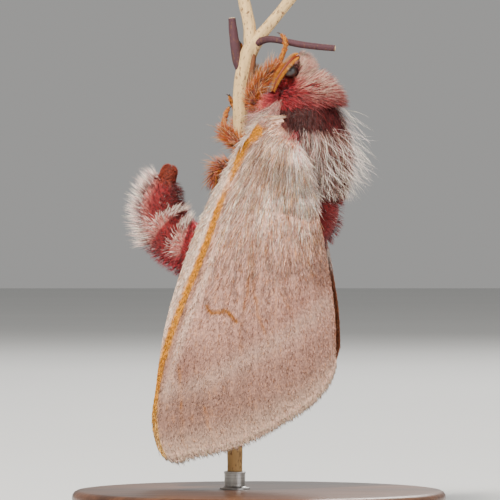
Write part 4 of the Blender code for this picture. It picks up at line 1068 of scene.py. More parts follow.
def build_mane(hair):
    """Long pale hair over the back of the thorax, from dark red roots, and the dark red saddle before it,
    darkened further by a painted leaf shadow.
    """
    def tint(root, share, turned):
        pick = chance(len(root))
        # Painted shadow: the saddle's hair is dark, part its own dark red and part the shadow of a leaf
        dark = mane_zone(root, turned) > rng.uniform(0.15, 0.85, len(root))
        pale = mix(linear(WHITE_HAIR), linear(PINK_HAIR), 0.9 * (pick > 0.80))
        pale = mix(pale, linear(GOLDEN), 0.6 * (pick < 0.08))
        beside = smooth_step(np.abs(turned), 45.0, 78.0)
        # Painted shade: many hairs are dark red-brown, to stand for the shade in the gaps between the pale
        # strands
        gap_shade_hair = chance(len(root)) < 0.56 - 0.36 * beside
        pale = np.where(gap_shade_hair[:, None], mix(linear(DARK_RED), linear(WING_DUSKY), pick), pale)
        middle = mix(linear(BROWN_RED), pale, 0.1 + 0.75 * pick)
        dusky = mix(linear(DARK_RED), linear(RED_HAIR), 0.65 * pick)
        dusky = mix(dusky, linear(BROWN_RED), 0.7 * smooth_step(np.abs(turned), 40.0, 90.0))
        middle = np.where(dark[:, None], dusky * 0.7, middle)
        tip = np.where(dark[:, None], dusky, pale)
        low = smooth_step(root[:, 2], 42.0, 40.5)
        return vary(mix(linear(DARK_RED), linear(PINK_HAIR), 0.30 * beside * low)), vary(middle), vary(tip)

    def lie(root, out, back, turned):
        front = smooth_step(root[:, 2], 38.0, 44.5)[:, None]
        return back + out * (0.03 + 0.20 * front) + rng.normal(0.0, 0.19, root.shape)

    def length(root, share, turned):
        low = smooth_step(root[:, 2], 40.5, 35.5)
        ridge = smooth_step(np.abs(turned), 60.0, 20.0)
        pale = (2.8 - 1.0 * low - 0.4 * ridge * (1.0 - low)) * rng.uniform(0.45, 1.15, len(root))
        return pale + (1.3 - pale) * mane_zone(root, turned)

    def kept(root, turned):
        return (np.abs(turned) < 94.0) | (root[:, 2] > 41.7 + 0.9 * smooth_step(np.abs(turned), 104.0, 130.0))

    for number, (lift, width) in enumerate(((0.13, 0.072), (0.24, 0.056))):
        body_tufts(f"mane_hair_{number + 1}", MANE_LAYER, (THORAX_START + 0.004, THORAX_END - 0.022),
                   (-138.0, 138.0), lie, length, tint, hair, "body_hair", kept, width=width, lift=lift,
                   sag=0.16, curl=0.26, push=over_wing, shades=(0.40, 1.15), locks=460, gather=0.55)

    def wisp_lie(root, out, back, turned):
        return back + 0.45 * out + rng.normal(0.0, 0.32, root.shape)

    def wisp_length(root, share, turned):
        return 3.5 - 1.4 * smooth_step(root[:, 2], 40.0, 35.5)

    def wisp_tint(root, share, turned):
        pale = same(WHITE_HAIR, len(root))
        return vary(same(RED_HAIR, len(root))), vary(pale), vary(pale)

    def wisp_kept(root, turned):
        return (root[:, 2] < 41.6) | (np.abs(turned) < 14.0)

    body_tufts("mane_wisps", MANE_WISPS, (THORAX_START + 0.006, THORAX_END - 0.03), (-75.0, 75.0), wisp_lie,
               wisp_length, wisp_tint, hair, "body_hair", wisp_kept, width=0.036, lift=0.34, sag=0.16,
               curl=0.34, rings=4)


def build_collar_and_face(hair):
    """Hair of the neck, which fans out round the head, and the short hair of head and palps."""
    def collar_tint(root, share, turned):
        pick = chance(len(root))
        back = smooth_step(np.abs(turned), 120.0, 70.0)
        high = smooth_step(root[:, 2], 44.6, 45.9)
        pale = mix(linear(PINK_HAIR), linear(CREAM), pick)
        # Darker red towards the back below the crown: part the hair's own colour and part the saddle's painted
        # leaf shadow
        red = mix(mix(linear(RED_HAIR), linear(ROSE), pick), linear(DARK_RED), 0.45 * back * (1.0 - high))
        tip = mix(red, pale, back * (0.10 + 0.90 * high) * (pick > 0.35))
        return vary(same(DARK_RED, len(root))), vary(mix(linear(RED_HAIR), tip, 0.35 + 0.5 * high)), vary(tip)

    def to_the_back(out):
        """Along the skin from the belly round to the back."""
        return np.array([1.0, 0.0, 0.0]) - out * out[:, :1]

    def collar_lie(root, out, back, turned):
        turn = np.interp(root[:, 2], [43.2, 44.8, 46.3], [0.9, 0.4, -0.5])
        turn = turn + rng.normal(0.0, 0.22, len(root))
        upright = 0.35 + 0.45 * smooth_step(np.cos(np.radians(turned)), 0.2, 0.8)
        return upright[:, None] * out + 0.75 * to_the_back(out) + back * turn[:, None]

    body_tufts("collar_hair", COLLAR_HAIR, (NECK - 0.002, THORAX_START + 0.034), (-180.0, 180.0), collar_lie,
               lambda root, share, turned: 2.2 - 0.9 * smooth_step(np.abs(turned), 60.0, 130.0),
               collar_tint, hair, "body_hair", width=0.075, lift=0.1, curl=0.2, shades=(0.6, 1.12),
               locks=240, gather=0.5)

    def face_tint(root, share, turned):
        pick = chance(len(root))
        crown = smooth_step(np.abs(turned), 120.0, 70.0)
        tip = mix(mix(linear(RED_ORANGE), linear(ROSE), pick), linear(PINK_HAIR), crown)
        tip = mix(tip, linear(CREAM), 0.9 * crown * (pick > 0.45))
        rooted = mix(linear(DARK_RED), linear(RED_HAIR), crown)
        return vary(rooted), vary(mix(linear(BROWN_RED), tip, 0.6)), vary(tip)

    def face_lie(root, out, back, turned):
        crown = smooth_step(np.abs(turned), 120.0, 70.0)[:, None]
        loose = rng.normal(0.0, 0.24, root.shape) * crown
        return 0.45 * out + 0.55 * to_the_back(out) + np.array([0.0, 0.0, 0.45]) + loose

    body_tufts("head_hair", HEAD_HAIR, (0.001, NECK + 0.004), (-180.0, 180.0),
               face_lie, lambda root, share, turned: 0.62 + 0.75 * smooth_step(np.abs(turned), 110.0, 50.0),
               face_tint, hair, "body_hair", width=0.054, lift=0.14, curl=0.26, rings=2, sink=0.06,
               shades=(0.55, 1.15), locks=260, gather=0.5)
    for side, word in SIDES:
        count = 420
        rows = smooth_line(mirrored(PALP, side), 30)
        share = rng.uniform(0.02, 0.99, count)
        turned = rng.uniform(-180.0, 180.0, count)
        root, out, ahead = place_round(rows, share, turned)
        pick = chance(count)
        tip = mix(linear(RED_ORANGE), linear(PINK_HAIR), pick)
        tints = (vary(same(DARK_RED, count)), vary(mix(linear(BROWN_RED), tip, 0.6)), vary(tip))
        uv = np.column_stack([0.01 + 0.01 * share, 0.01 + 0.98 * (turned % 360.0) / 360.0])
        lie = unit(ahead + 0.4 * out + rng.normal(0.0, 0.12, root.shape))
        coat = tuft_mesh("palp_hair_" + word, root, out, lie, rng.uniform(0.35, 0.6, count), 0.055, tints, uv,
                         lift=0.1, curl=0.12, rings=2, sink=0.04)
        finish_piece(coat, hair)


def build_breast_and_shoulders(hair):
    """Rose-red hair of the underside, and the tufts that stand out before the wing roots."""
    def tint(root, share, turned):
        pick = chance(len(root))
        tip = mix(linear(ROSE), linear(PINK_HAIR), 0.9 * pick)
        return vary(same(DARK_RED, len(root))), vary(mix(linear(RED_HAIR), linear(ROSE), pick)), vary(tip)

    def pale_tint(root, share, turned):
        pick = chance(len(root))
        tip = mix(linear(WHITE_HAIR), linear(PINK_HAIR), 0.85 * (pick > 0.66))
        tip = mix(tip, linear(WING_DUSKY), 0.8 * (pick < 0.18))
        return vary(same(RED_HAIR, len(root))), vary(mix(linear(PINK_HAIR), tip, 0.7)), vary(tip)

    def flowing(root, out, back, turned):
        forward = smooth_step(root[:, 0], 4.0, 1.5)
        level = np.column_stack([-0.1 - 0.5 * forward, np.zeros(len(root)), np.full(len(root), -0.8)])
        return 0.30 * out + level + rng.normal(0.0, 0.10, root.shape)

    def below_saddle(root, turned):
        return (root[:, 2] < 41.7) | (np.abs(turned - 180.0) < 44.0)

    body_tufts("breast_hair", BREAST_HAIR, (THORAX_START, THORAX_END - 0.003), (94.0, 266.0),
               lambda root, out, back, turned: 0.5 * back + 0.8 * out,
               lambda root, share, turned: np.full(len(root), 1.9), tint, hair, "body_hair", below_saddle,
               width=0.08, lift=0.15, curl=0.18, locks=320, gather=0.55)
    for side, word in ((1.0, "left"), (-1.0, "right")):
        rosy = sorted((side * 134.0, side * 176.0))
        body_tufts("shoulder_hair_" + word, 1000, (THORAX_START + 0.008, THORAX_START + 0.046), rosy,
                   lambda root, out, back, turned: 0.45 * out - 0.1 * back + np.array([-0.7, 0.0, 0.0]),
                   lambda root, share, turned: np.full(len(root), 1.9), tint, hair, "body_hair",
                   width=0.065, lift=0.1, curl=0.24, shades=(0.65, 1.12), locks=80, gather=0.5)
        white = sorted((side * 120.0, side * 152.0))
        body_tufts("wing_root_hair_" + word, 1250, (THORAX_START + 0.012, THORAX_START + 0.046), white,
                   flowing, lambda root, share, turned: rng.uniform(1.0, 4.4, len(root)), pale_tint, hair,
                   "body_hair", width=0.045, lift=0.12, curl=0.24, shades=(0.5, 1.15), push=over_wing,
                   locks=130, gather=0.35)


def build_abdomen_coat(hair):
    """Rings of red and pale hair round the abdomen, and short hair on its tip."""
    def tint(root, share, turned):
        pale = smooth_step(pale_ring(share, turned) + rng.normal(0.0, 0.22, len(root)), 0.35, 0.65)
        along = along_abdomen(share)
        pick = chance(len(root))
        light = mix(linear(PINK_HAIR), linear(WHITE_HAIR), 0.6 + 1.4 * pick)
        rosy = 0.05 + 0.7 * smooth_step(along, 0.80, 0.68) * smooth_step(along, 0.22, 0.3)
        red = mix(mix(linear(DARK_RED), linear(RED_HAIR), 0.2 + 0.85 * pick), linear(ROSE), rosy)
        red = mix(red, linear(DARK_RED),
                  0.6 * smooth_step(np.abs(turned), 95.0, 135.0) * smooth_step(along, 0.8, 0.9))
        tip = mix(red, light, pale)
        middle = mix(red, mix(linear(ROSE), light, 0.55 + 0.6 * pick), pale)
        return vary(mix(linear(DARK_RED), linear(RED_HAIR), 0.9 * pale)), vary(middle), vary(tip)

    def length(root, share, turned):
        outer = smooth_step(np.abs(turned), 80.0, 30.0) * smooth_step(along_abdomen(share), 0.6, 0.8)
        uneven = rng.uniform(0.5, 1.2, len(root))
        return 0.85 + (0.65 + 0.45 * outer) * uneven * pale_ring(share, turned)

    body_tufts("abdomen_hair", ABDOMEN_HAIR, (THORAX_END - 0.020, TIP_START), (-180.0, 180.0),
               lambda root, out, back, turned: 0.5 * back + out + rng.normal(0.0, 0.2, root.shape),
               length, tint, hair, "red_hair", width=0.055, lift=0.06, curl=0.12, rings=2, shades=(0.6, 1.18),
               locks=1500, gather=0.25)

    def tip_tint(root, share, turned):
        pick = chance(len(root))
        return (vary(same(BROWN_RED, len(root))), vary(mix(linear(BROWN_RED), linear(TIP_BROWN), pick)),
                vary(mix(linear(TIP_BROWN), linear(RED_ORANGE), 0.4 * pick)))

    body_tufts("tip_hair", TIP_HAIR, (TIP_START, 0.999), (-180.0, 180.0),
               lambda root, out, back, turned: back + 0.12 * out,
               lambda root, share, turned: np.full(len(root), 0.34), tip_tint, hair, "orange_hair",
               width=0.06, lift=0.05, curl=0.1, rings=2, sink=0.04)


def build_eyes(finish):
    """Two compound eyes as fine spheres."""
    rings, sides = 33, 64
    turn, tilt = grid_of(np.linspace(0.0, math.pi, rings), np.linspace(0.0, TURN, sides, endpoint=False))
    own = np.column_stack([turn / math.pi, tilt / TURN])
    for side, word in SIDES:
        shape = np.column_stack([np.sin(turn) * np.cos(tilt), np.cos(turn) * side, np.sin(turn) * np.sin(tilt)])
        places = shape * EYE_RADIUS + np.array([EYE_CENTRE[0], side * EYE_CENTRE[1], EYE_CENTRE[2]])
        faces = triangles_of(grid_faces(rings, sides, flip=side > 0.0, closed=True))
        eye = mesh_from_arrays("compound_eye_" + word, places, faces, uv=0.01 + 0.98 * own)
        finish_piece(eye, finish, ["eye_" + word])


def build_antennae(shaft_finish, hair):
    """Feathered antennae: a jointed shaft with a row of short branches on both sides."""
    for side, word in SIDES:
        line = smooth_line(mirrored(ANTENNA, side), 90)
        shaft = line.copy()
        along = np.linspace(0.0, 1.0, 90)
        shaft[:, 3] = (0.14 - 0.09 * along) * (1.0 + 0.12 * np.cos(TURN * 30.0 * along))
        places, faces, own = sweep(shaft, 12)
        piece = mesh_from_arrays("antenna_shaft_" + word, places, faces, uv=0.01 + 0.98 * own)
        finish_piece(piece, shaft_finish, ["antenna_" + word])
        number = 42
        share = np.repeat(np.linspace(0.06, 0.985, number), 2)
        hand = np.tile([-1.0, 1.0], number)
        root, out, ahead = place_round(line, share, np.zeros(2 * number))
        facing = np.array([0.55, side * 0.75, 0.35])
        across = unit(np.cross(ahead, facing)) * hand[:, None]
        centre = root - out * np.interp(share, along, line[:, 3])[:, None]
        reach = np.interp(share, along, line[:, 3]) * 0.98
        tints = (same(TIP_BROWN, 2 * number), same(ORANGE_HAIR, 2 * number), same(ORANGE_HAIR, 2 * number))
        uv = np.column_stack([0.01 + 0.98 * share, np.where(hand > 0.0, 0.25, 0.75)])
        outward = np.repeat(unit(facing)[None], 2 * number, axis=0)
        branches = tuft_mesh("antenna_branches_" + word, centre, outward, unit(across + 0.5 * ahead), reach,
                             0.11, tints, uv, lift=0.1, curl=0.03, rings=4, flat=0.9, sink=0.0)
        finish_piece(branches, hair)


def leg_lines():
    """Every leg's name and the rows of its line."""
    for side, word, legs in ((-1.0, "left", LEFT_LEGS), (1.0, "right", RIGHT_LEGS)):
        for place, rows in legs.items():
            yield f"leg_{place}_{word}", smooth_line(mirrored(rows, side), 120)


def build_legs(skin, hair, claw_finish):
    """Legs with jointed feet, a pair of claws each, and their hair."""
    roots, outs, lies, lengths, colours, maps = [], [], [], [], [], []
    for number, (name, rows) in enumerate(leg_lines()):
        share = np.linspace(0.0, 1.0, len(rows))
        foot = smooth_step(share, 0.60, 0.68)
        rows = rows.copy()
        rows[:, 3] *= 0.72 + 0.05 * foot
        rows[:, 3] *= 1.0 + 0.22 * foot * np.sin(TURN * (share - 0.62) * 5.0 / 0.36)
        places, faces, own = sweep(rows, 20)
        # Dark brown-red skin and darker orange feet: partly the legs' own colour, partly painted shade under
        # the hair
        tint = mix(linear(BROWN_RED), linear(ORANGE_HAIR) * 0.7, smooth_step(own[:, 0], 0.5, 0.68))
        uv = np.column_stack([0.01 + 0.98 * own[:, 0], (number + 0.05 + 0.9 * own[:, 1]) / 6.0])
        leg = mesh_from_arrays(name + "_skin", places, faces, tint, uv)
        finish_piece(leg, skin, [name])
        build_claws(name, rows, claw_finish)
        count = LEG_HAIR
        at = rng.beta(1.0, 1.25, count) * 0.95 + 0.02
        turned = rng.uniform(-180.0, 180.0, count)
        root, out, ahead = place_round(rows, at, turned)
        slim = smooth_step(at, 0.55, 0.68)
        lengths.append((1.15 - 0.85 * slim) * rng.uniform(0.6, 1.35, count))
        lies.append(unit(ahead * (0.8 + 0.8 * slim[:, None]) + out * 0.6 + rng.normal(0.0, 0.12, root.shape)))
        roots.append(root)
        outs.append(out)
        pick = chance(count)
        root_tint = mix(linear(BROWN_RED), linear(RED_ORANGE), pick)
        tip = mix(linear(RED_ORANGE), linear(ORANGE_HAIR), np.maximum(pick, slim))
        tip = mix(tip, linear(CREAM), (pick > 0.72) * (1.0 - slim))
        tip = mix(tip, linear(PINK_HAIR), 0.7 * ("hind" in name) * (1.0 - slim))
        lengths[-1] = lengths[-1] * np.where((pick > 0.88) & (slim < 0.5), 1.8, 1.0)
        colours.append((root_tint, mix(linear(RED_ORANGE), linear(ORANGE_HAIR), pick), tip))
        around = 0.9 * (turned % 360.0) / 360.0
        maps.append(np.column_stack([0.01 + 0.98 * at, (number + 0.05 + around) / 6.0]))
    tints = tuple(vary(np.vstack([colour[k] for colour in colours])) for k in range(3))
    coat = tuft_mesh("leg_hair", np.vstack(roots), np.vstack(outs), np.vstack(lies), np.concatenate(lengths),
                     0.066, tints, np.vstack(maps), lift=0.1, curl=0.2, rings=2, sink=0.05,
                     shades=(0.55, 1.05), locks=700, gather=0.3)
    finish_piece(coat, hair)


def build_claws(name, rows, finish):
    """Two small curved claws at the end of a foot."""
    end = rows[-1, :3]
    ahead = unit(rows[-1, :3] - rows[-6, :3])
    across = unit(np.cross(ahead, np.array([0.3, 0.2, 1.0])))
    down = np.cross(across, ahead)
    parts, corners = [], []
    start = 0
    for side in (-1.0, 1.0):
        t = np.linspace(0.0, 1.0, 9)[:, None]
        line = end - ahead * 0.08 + ahead * 0.42 * np.sin(1.4 * t) + across * side * (0.06 + 0.16 * t)
        line = line - down * 0.22 * t ** 2
        claw_rows = np.column_stack([line, 0.075 * (1.0 - t[:, 0]) ** 0.7 + 0.006])
        places, faces, own = sweep(claw_rows, 8)
        parts.append(places)
        corners.append(faces + start)
        start += len(places)
    piece = mesh_from_arrays(name + "_claws", np.vstack(parts), np.vstack(corners))
    finish_piece(piece, finish)


# Wings

def wing_map(u, v, inner):
    """Where places on a wing lie on its UV map, which shows its outer side and then its inner side."""
    return np.column_stack([0.01 + 0.98 * u, (0.51 if inner else 0.01) + 0.48 * v])


def tint_on(wing, tint, u, v):
    """A wing's colour at u and v."""
    here = wing.place(u, v)
    return tint(here[:, 0], here[:, 2], u, v)


def build_wing(name, wing, outer_tint, inner_tint, finish, node):
    """The thin sheet of one wing, both sides and their rim, with veins."""
    rows, columns = WING_GRID
    u, v = grid_of(np.linspace(0.0, 1.0 - FRINGE_SHARE, rows), np.linspace(0.0, 1.0, columns))
    here, normal = wing.frame(u, v)[:2]
    relief = VEIN_RISE * wing.vein(u, v)
    rim = np.minimum(1.0, 60.0 * np.minimum(v, 1.0 - v) + 0.3)
    half = (0.5 * MEMBRANE + relief) * rim
    outer = here + normal * half[:, None]
    inner = here - normal * half[:, None]
    count = len(u)
    flip = wing.side > 0.0
    faces = np.vstack([grid_faces(rows, columns, 0, flip), grid_faces(rows, columns, count, not flip)])
    edge = np.concatenate([np.arange(columns - 1), np.arange(columns - 1, count - 1, columns),
                           count - 1 - np.arange(columns - 1), np.arange((rows - 1) * columns, 0, -columns)])
    following = np.roll(edge, -1)
    rims = np.column_stack([edge, following, following + count, edge + count])
    if not flip:
        rims = rims[:, ::-1]
    faces = triangles_of(np.vstack([faces, rims]))
    tint = np.vstack([outer_tint(here[:, 0], here[:, 2], u, v), inner_tint(here[:, 0], here[:, 2], u, v)])
    uv = np.vstack([wing_map(u, v, False), wing_map(u, v, True)])
    piece = mesh_from_arrays(name, np.vstack([outer, inner]), faces, tint, uv)
    finish_piece(piece, finish, [node])


def wing_tufts(name, wing, u, v, tints, length, width, finish, spread=0.12, lift=0.1, inner=False,
               turn=0.0, before=0.0, **shape):
    """Tufts rooted in one side of a wing, or a bit before that, which lie towards the margin."""
    here, normal, along, across = wing.frame(u, v)
    if inner:
        normal = -normal
    lie = unit(along + across * turn + across * rng.normal(0.0, spread, (len(u), 1)))
    root = here + normal * 0.5 * MEMBRANE - lie * np.broadcast_to(before, len(u))[:, None]
    piece = tuft_mesh(name, root, normal, lie, length, width, tints, wing_map(u, v, inner), lift=lift,
                      sink=0.02, **shape)
    return finish_piece(piece, finish)


def build_scales(wing, word, finish):
    """The scales of a forewing's outer side, which grow shorter towards the margin."""
    count = SCALES
    u = rng.uniform(0.02, 1.0 - FRINGE_SHARE, count)
    v = rng.uniform(0.004, 0.996, count)
    length = (0.70 - 0.28 * smooth_step(u, 0.3, 0.8)) * rng.uniform(0.65, 1.2, count)
    at = np.minimum(u + 0.45 * length / WING_LENGTH, 0.999)
    middle = wing.place(at, v)
    colour = fore_tint(middle[:, 0], middle[:, 2], at, v)
    marked = orange_share(middle[:, 0], middle[:, 2])[:, None]
    calm = mottled(colour, (1.3 - 0.30 * smooth_step(u, 0.35, 0.7))[:, None])
    mixed = calm * (1.0 - marked) + colour * marked
    # Painted shade and light: each scale is darker at its root, in the gaps between scales, and lighter at its
    # tip
    tints = (mixed * 0.60, mixed, np.clip(mixed * 1.12, 0.0, 1.0))
    wing_tufts("wing_scales_" + word, wing, u, v, tints, length, 0.062, finish, lift=0.14, rings=2, curl=0.05,
               spread=0.11, turn=(-0.42 * (1.0 - v) + 0.04)[:, None], shades=(0.58, 1.27))


def build_fringe_and_under_side(wing, word, finish):
    """The short notched fringe of a forewing, and the scales of its inner side."""
    count = 2300
    v = chance(count)
    u = rng.uniform(1.0 - FRINGE_SHARE - 0.024, 1.0 - FRINGE_SHARE - 0.004, count)
    comb = np.abs(np.cos(math.pi * v * FRINGE_TEETH)) ** 0.8
    length = (0.76 + 0.24 * comb) * rng.uniform(0.88, 1.06, count)
    here = wing.place(u, v)
    colour = fore_tint(here[:, 0], here[:, 2], u - 0.06, v)
    pale = mix(linear(MARGIN_PALE), linear(FRINGE), 0.20 + 0.6 * comb)
    tints = (vary(colour), vary(mix(colour, pale, 0.4)), vary(pale))
    wing_tufts("margin_fringe_" + word, wing, u, v, tints, length, 0.085, finish, spread=0.045,
               lift=0.06, rings=2, curl=0.03, shades=(0.8, 1.08))

    count = 1800
    u = rng.uniform(0.04, 0.97, count)
    v = rng.uniform(0.01, 0.99, count)
    colour = tint_on(wing, under_tint, u, v)
    # Painted shade: the roots are a darker copy of the scale colour
    tints = (colour * 0.85, vary(colour), vary(colour))
    wing_tufts("under_scales_" + word, wing, u, v, tints, rng.uniform(0.9, 1.6, count), 0.12, finish,
               lift=0.06, inner=True, rings=2, curl=0.05)


def build_edge_hair(wing, word, finish):
    """Pale hair along a forewing's front edge, the orange line beside it, and scales over the inner edge."""
    count = 1000
    u = rng.beta(1.0, 1.6, count) * 0.62
    v = rng.uniform(0.002, 1.0, count) * (0.016 + 0.04 * smooth_step(u, 0.16, 0.26))
    pick = chance(count)
    pale = mix(linear(COSTA_PALE), linear(WHITE_HAIR), pick * smooth_step(0.5 - u, 0.0, 0.3))
    length = (2.4 - 2.0 * u / 0.8) * rng.uniform(0.6, 1.15, count)
    pale = mix(pale, linear(GOLDEN), 0.45 * (chance(count) > 0.75))
    # Painted shade: roots and middles are darker copies of the tip colour, for the shade between the strands
    tints = (vary(pale * 0.6), vary(pale * 0.9), vary(pale))
    wing_tufts("front_edge_hair_" + word, wing, u, v, tints, length, 0.055, finish, spread=0.08, lift=0.05,
               turn=-0.05, curl=0.10, shades=(0.55, 1.15))

    u = rng.uniform(0.01, 0.97, 40000)
    v = rng.uniform(0.0, 0.32, len(u))
    here = wing.place(u, v)
    share = orange_share(here[:, 0], here[:, 2])
    line = np.nonzero(share > rng.uniform(0.35, 0.95, len(u)))[0][:1700]
    u, v, here = u[line], v[line], here[line]
    gold = mix(linear(ORANGE_PALE), linear(ORANGE), smooth_step(here[:, 2], 7.0, 15.0))
    gold = mix(gold, linear(ORANGE_SHADE_AND_SPECK), 0.5 * (chance(len(u)) > 0.86))
    # Painted shade: the roots are a darker copy of the line's colour
    tints = (gold * 0.6, vary(gold), vary(gold))
    wing_tufts("orange_line_" + word, wing, u, v, tints, rng.uniform(0.5, 0.9, len(u)), 0.07, finish,
               spread=0.06, lift=0.13, rings=2, curl=0.04, shades=(0.7, 1.12))

    count = 900
    u = rng.uniform(0.05, 0.97, count)
    v = rng.uniform(0.982, 0.998, count)
    colour = mottled(tint_on(wing, fore_tint, u, v))
    # Painted shade: the roots are a darker copy of the scale colour
    tints = (colour * 0.6, colour, colour)
    wing_tufts("inner_edge_scales_" + word, wing, u, v, tints, rng.uniform(0.4, 0.7, count), 0.07, finish,
               spread=0.1, lift=0.04, rings=2, turn=0.02, curl=0.05)


def build_base_hair(wing, word, finish):
    """Long hair over the base of a forewing, which turns into scales further down."""
    count = BASE_HAIR
    u = rng.beta(1.0, 2.1, count) * 0.66
    v = rng.uniform(0.01, 0.98, count)
    here = wing.place(u, v)
    line = line_distance(here[:, 0], here[:, 2], ORANGE_LINE)
    keep = (line > 0.80) & ((v > 0.14) | (u < 0.05)) & ((u > 0.055) | (v < 0.12))
    u, v, here = u[keep], v[keep], here[keep]
    count = len(u)
    pick = chance(count)
    # The hair is less white in the painted shade beside the inner edge
    silky = (smooth_step(v, 0.20, 0.95) * smooth_step(0.60 - u, 0.0, 0.40)
             * (1.0 - 0.7 * inner_shade(here[:, 2], v)))
    wing_colour = fore_tint(here[:, 0], here[:, 2], u, v)
    lock = cloud(u / 0.7, v - 0.15 * u * (1.0 - v) + 0.1, 5, 44, 8)
    pale = mix(linear(CREAM), linear(WHITE_HAIR), np.clip(0.5 * pick + 0.5 * silky + 0.4 * lock, 0.0, 1.0))
    pale = mix(pale, linear(PINK_HAIR), 0.6 * (pick < 0.35) * (1.0 - 0.4 * silky))
    share = (0.35 + 0.50 * silky + 0.3 * lock) * (1.0 - smooth_step(u, 0.30, 0.62)) + 0.05
    tip = mottled(mix(wing_colour, pale, share), 1.1) * (1.0 + 0.22 * lock)[:, None]
    reddish = 0.4 * (pick < 0.3) * smooth_step(0.15 - u, 0.0, 0.15) * (v > 0.6)
    # Painted shade: the roots are the tip colour at half brightness, for the shade between the strands
    root_tint = mix(tip * 0.5, linear(RED_HAIR), reddish)
    length = (3.9 - 3.2 * (u / 0.66) ** 0.75) * rng.uniform(0.5, 1.15, count)
    tints = (vary(root_tint), vary(mix(root_tint, tip, 0.65)), vary(tip))
    wing_tufts("base_hair_" + word, wing, u, v, tints, length, 0.055, finish, spread=0.14, lift=0.09,
               turn=(-0.16 * (1.0 - v) + 0.03)[:, None], curl=0.16, shades=(0.6, 1.2), locks=600, gather=0.4,
               before=rng.uniform(0.2, 0.9, count) * smooth_step(0.07 - u, 0.0, 0.05))


def build_mane_edge(wing, word, finish):
    """Long pale hair that crosses a forewing's inner edge, where it meets the mane."""
    count = 1100
    u = chance(count) ** 1.2 * 0.28
    v = rng.uniform(0.80, 0.995, count)
    pick = chance(count)
    pale = mix(linear(WHITE_HAIR), linear(PINK_HAIR), 0.8 * (pick > 0.72))
    pale = mix(pale, linear(WING_DUSKY), 0.7 * (pick < 0.22))
    length = (3.3 - 5.0 * u) * rng.uniform(0.5, 1.1, count)
    # Painted shade: roots at half and middles at nine tenths of the tip colour, for the shade between the
    # strands
    tints = (vary(pale * 0.5), vary(pale * 0.9), vary(pale))
    wing_tufts("mane_edge_" + word, wing, u, v, tints, length, 0.05, finish, lift=0.10,
               turn=rng.uniform(-0.05, 0.50, (count, 1)), curl=0.22, shades=(0.5, 1.12), locks=160, gather=0.4)


def build_hind_coat(wing, word, finish):
    """Scales on both sides and the fringe of one hindwing."""
    count = 1300
    for inner, facing in ((False, "out"), (True, "in")):
        u = rng.uniform(0.03, 1.0 - FRINGE_SHARE, count)
        v = rng.uniform(0.01, 0.99, count)
        colour = mottled(tint_on(wing, hind_tint, u, v), 0.6)
        # Painted shade: the roots are a darker copy of the scale colour
        wing_tufts(f"hind_scales_{facing}_{word}", wing, u, v, (colour * 0.85, colour, colour),
                   rng.uniform(0.9, 1.7, count), 0.14, finish, lift=0.06, inner=inner, rings=2, curl=0.05)
    count = 900
    v = chance(count)
    u = np.full(count, 1.0 - FRINGE_SHARE - 0.004)
    tints = (vary(same(WING_LOW, count)), vary(same(FRINGE, count)), vary(same(CREAM, count)))
    wing_tufts("hind_fringe_" + word, wing, u, v, tints, rng.uniform(0.6, 1.0, count), 0.14, finish,
               lift=0.0, rings=2, curl=0.06)


def build_wings(sheet, scales):
    """Both pairs of wings with their scales."""
    for side, word, ridge in ((-1.0, "left", RIDGE_X), (1.0, "right", FAR_RIDGE_X)):
        fore = Wing(FORE_OUTLINE, side, 0.0, ridge, FORE_VEINS)
        hind = Wing(HIND_OUTLINE, side, HIND_DEPTH, ridge, HIND_VEINS)
        build_wing("forewing_sheet_" + word, fore, fore_tint, under_tint, sheet, "forewing_" + word)
        build_wing("hindwing_sheet_" + word, hind, hind_tint, hind_tint, sheet, "hindwing_" + word)
        build_scales(fore, word, scales)
        build_base_hair(fore, word, scales)
        build_mane_edge(fore, word, scales)
        build_edge_hair(fore, word, scales)
        build_fringe_and_under_side(fore, word, scales)
        build_hind_coat(hind, word, scales)


# Stem and stand

def build_stem(bark, cut):
    """The stem and its shoots with fine ridges and swellings, and their cut ends."""
    def ridged(share, turn):
        return 1.0 + 0.035 * np.sin(5.0 * turn + 9.0 * share) + 0.02 * np.sin(11.0 * turn - 14.0 * share)

    shoots = ((STEM, 220, 40, STEM_CREAM), (UPRIGHT_SHOOT, 50, 28, STEM_CREAM),
              (PURPLE_SHOOT, 60, 24, STEM_PURPLE), (GRIPPED_TWIG, 90, 20, STEM_PURPLE),
              (BARK_STRIP, 60, 14, STEM_BROWN))
    parts = []
    for number, (line, rings, sides, colour) in enumerate(shoots):
        rows = smooth_line(line, rings)
        rows[:, 2] = np.where(rows[:, 2] < STEM_START, STEM_FOOT, rows[:, 2])
        rows[:, 3] *= 1.0 + 0.02 * np.sin(0.9 * rows[:, 2]) + 0.012 * np.sin(3.1 * rows[:, 2] + number)
        places, faces, own = sweep(rows, sides, ridged)
        shade = same(colour, len(places))
        if line is STEM:
            shade = mix(shade, linear(STEM_TAN), smooth_step(places[:, 2], 12.0, 5.0) * 0.8)
        uv = np.column_stack([0.01 + 0.98 * own[:, 0], (number + 0.05 + 0.9 * own[:, 1]) / 5.0])
        parts.append((places, faces, shade, uv))
    finish_piece(mesh_from_arrays("stem_bark", *stacked(parts)), bark, ["perch_stem"])
    ends = []
    for line in (STEM, UPRIGHT_SHOOT, PURPLE_SHOOT, GRIPPED_TWIG):
        rows = smooth_line(line, 40)
        step = unit(rows[-1, :3] - rows[-3, :3]) * 0.05
        cap = [np.append(rows[-1, :3] - step, rows[-1, 3] * 0.86),
               np.append(rows[-1, :3] + step, rows[-1, 3] * 0.8)]
        ends.append(sweep(np.array(cap), 20)[:2])
    finish_piece(mesh_from_arrays("stem_cut_ends", *stacked(ends)), cut)


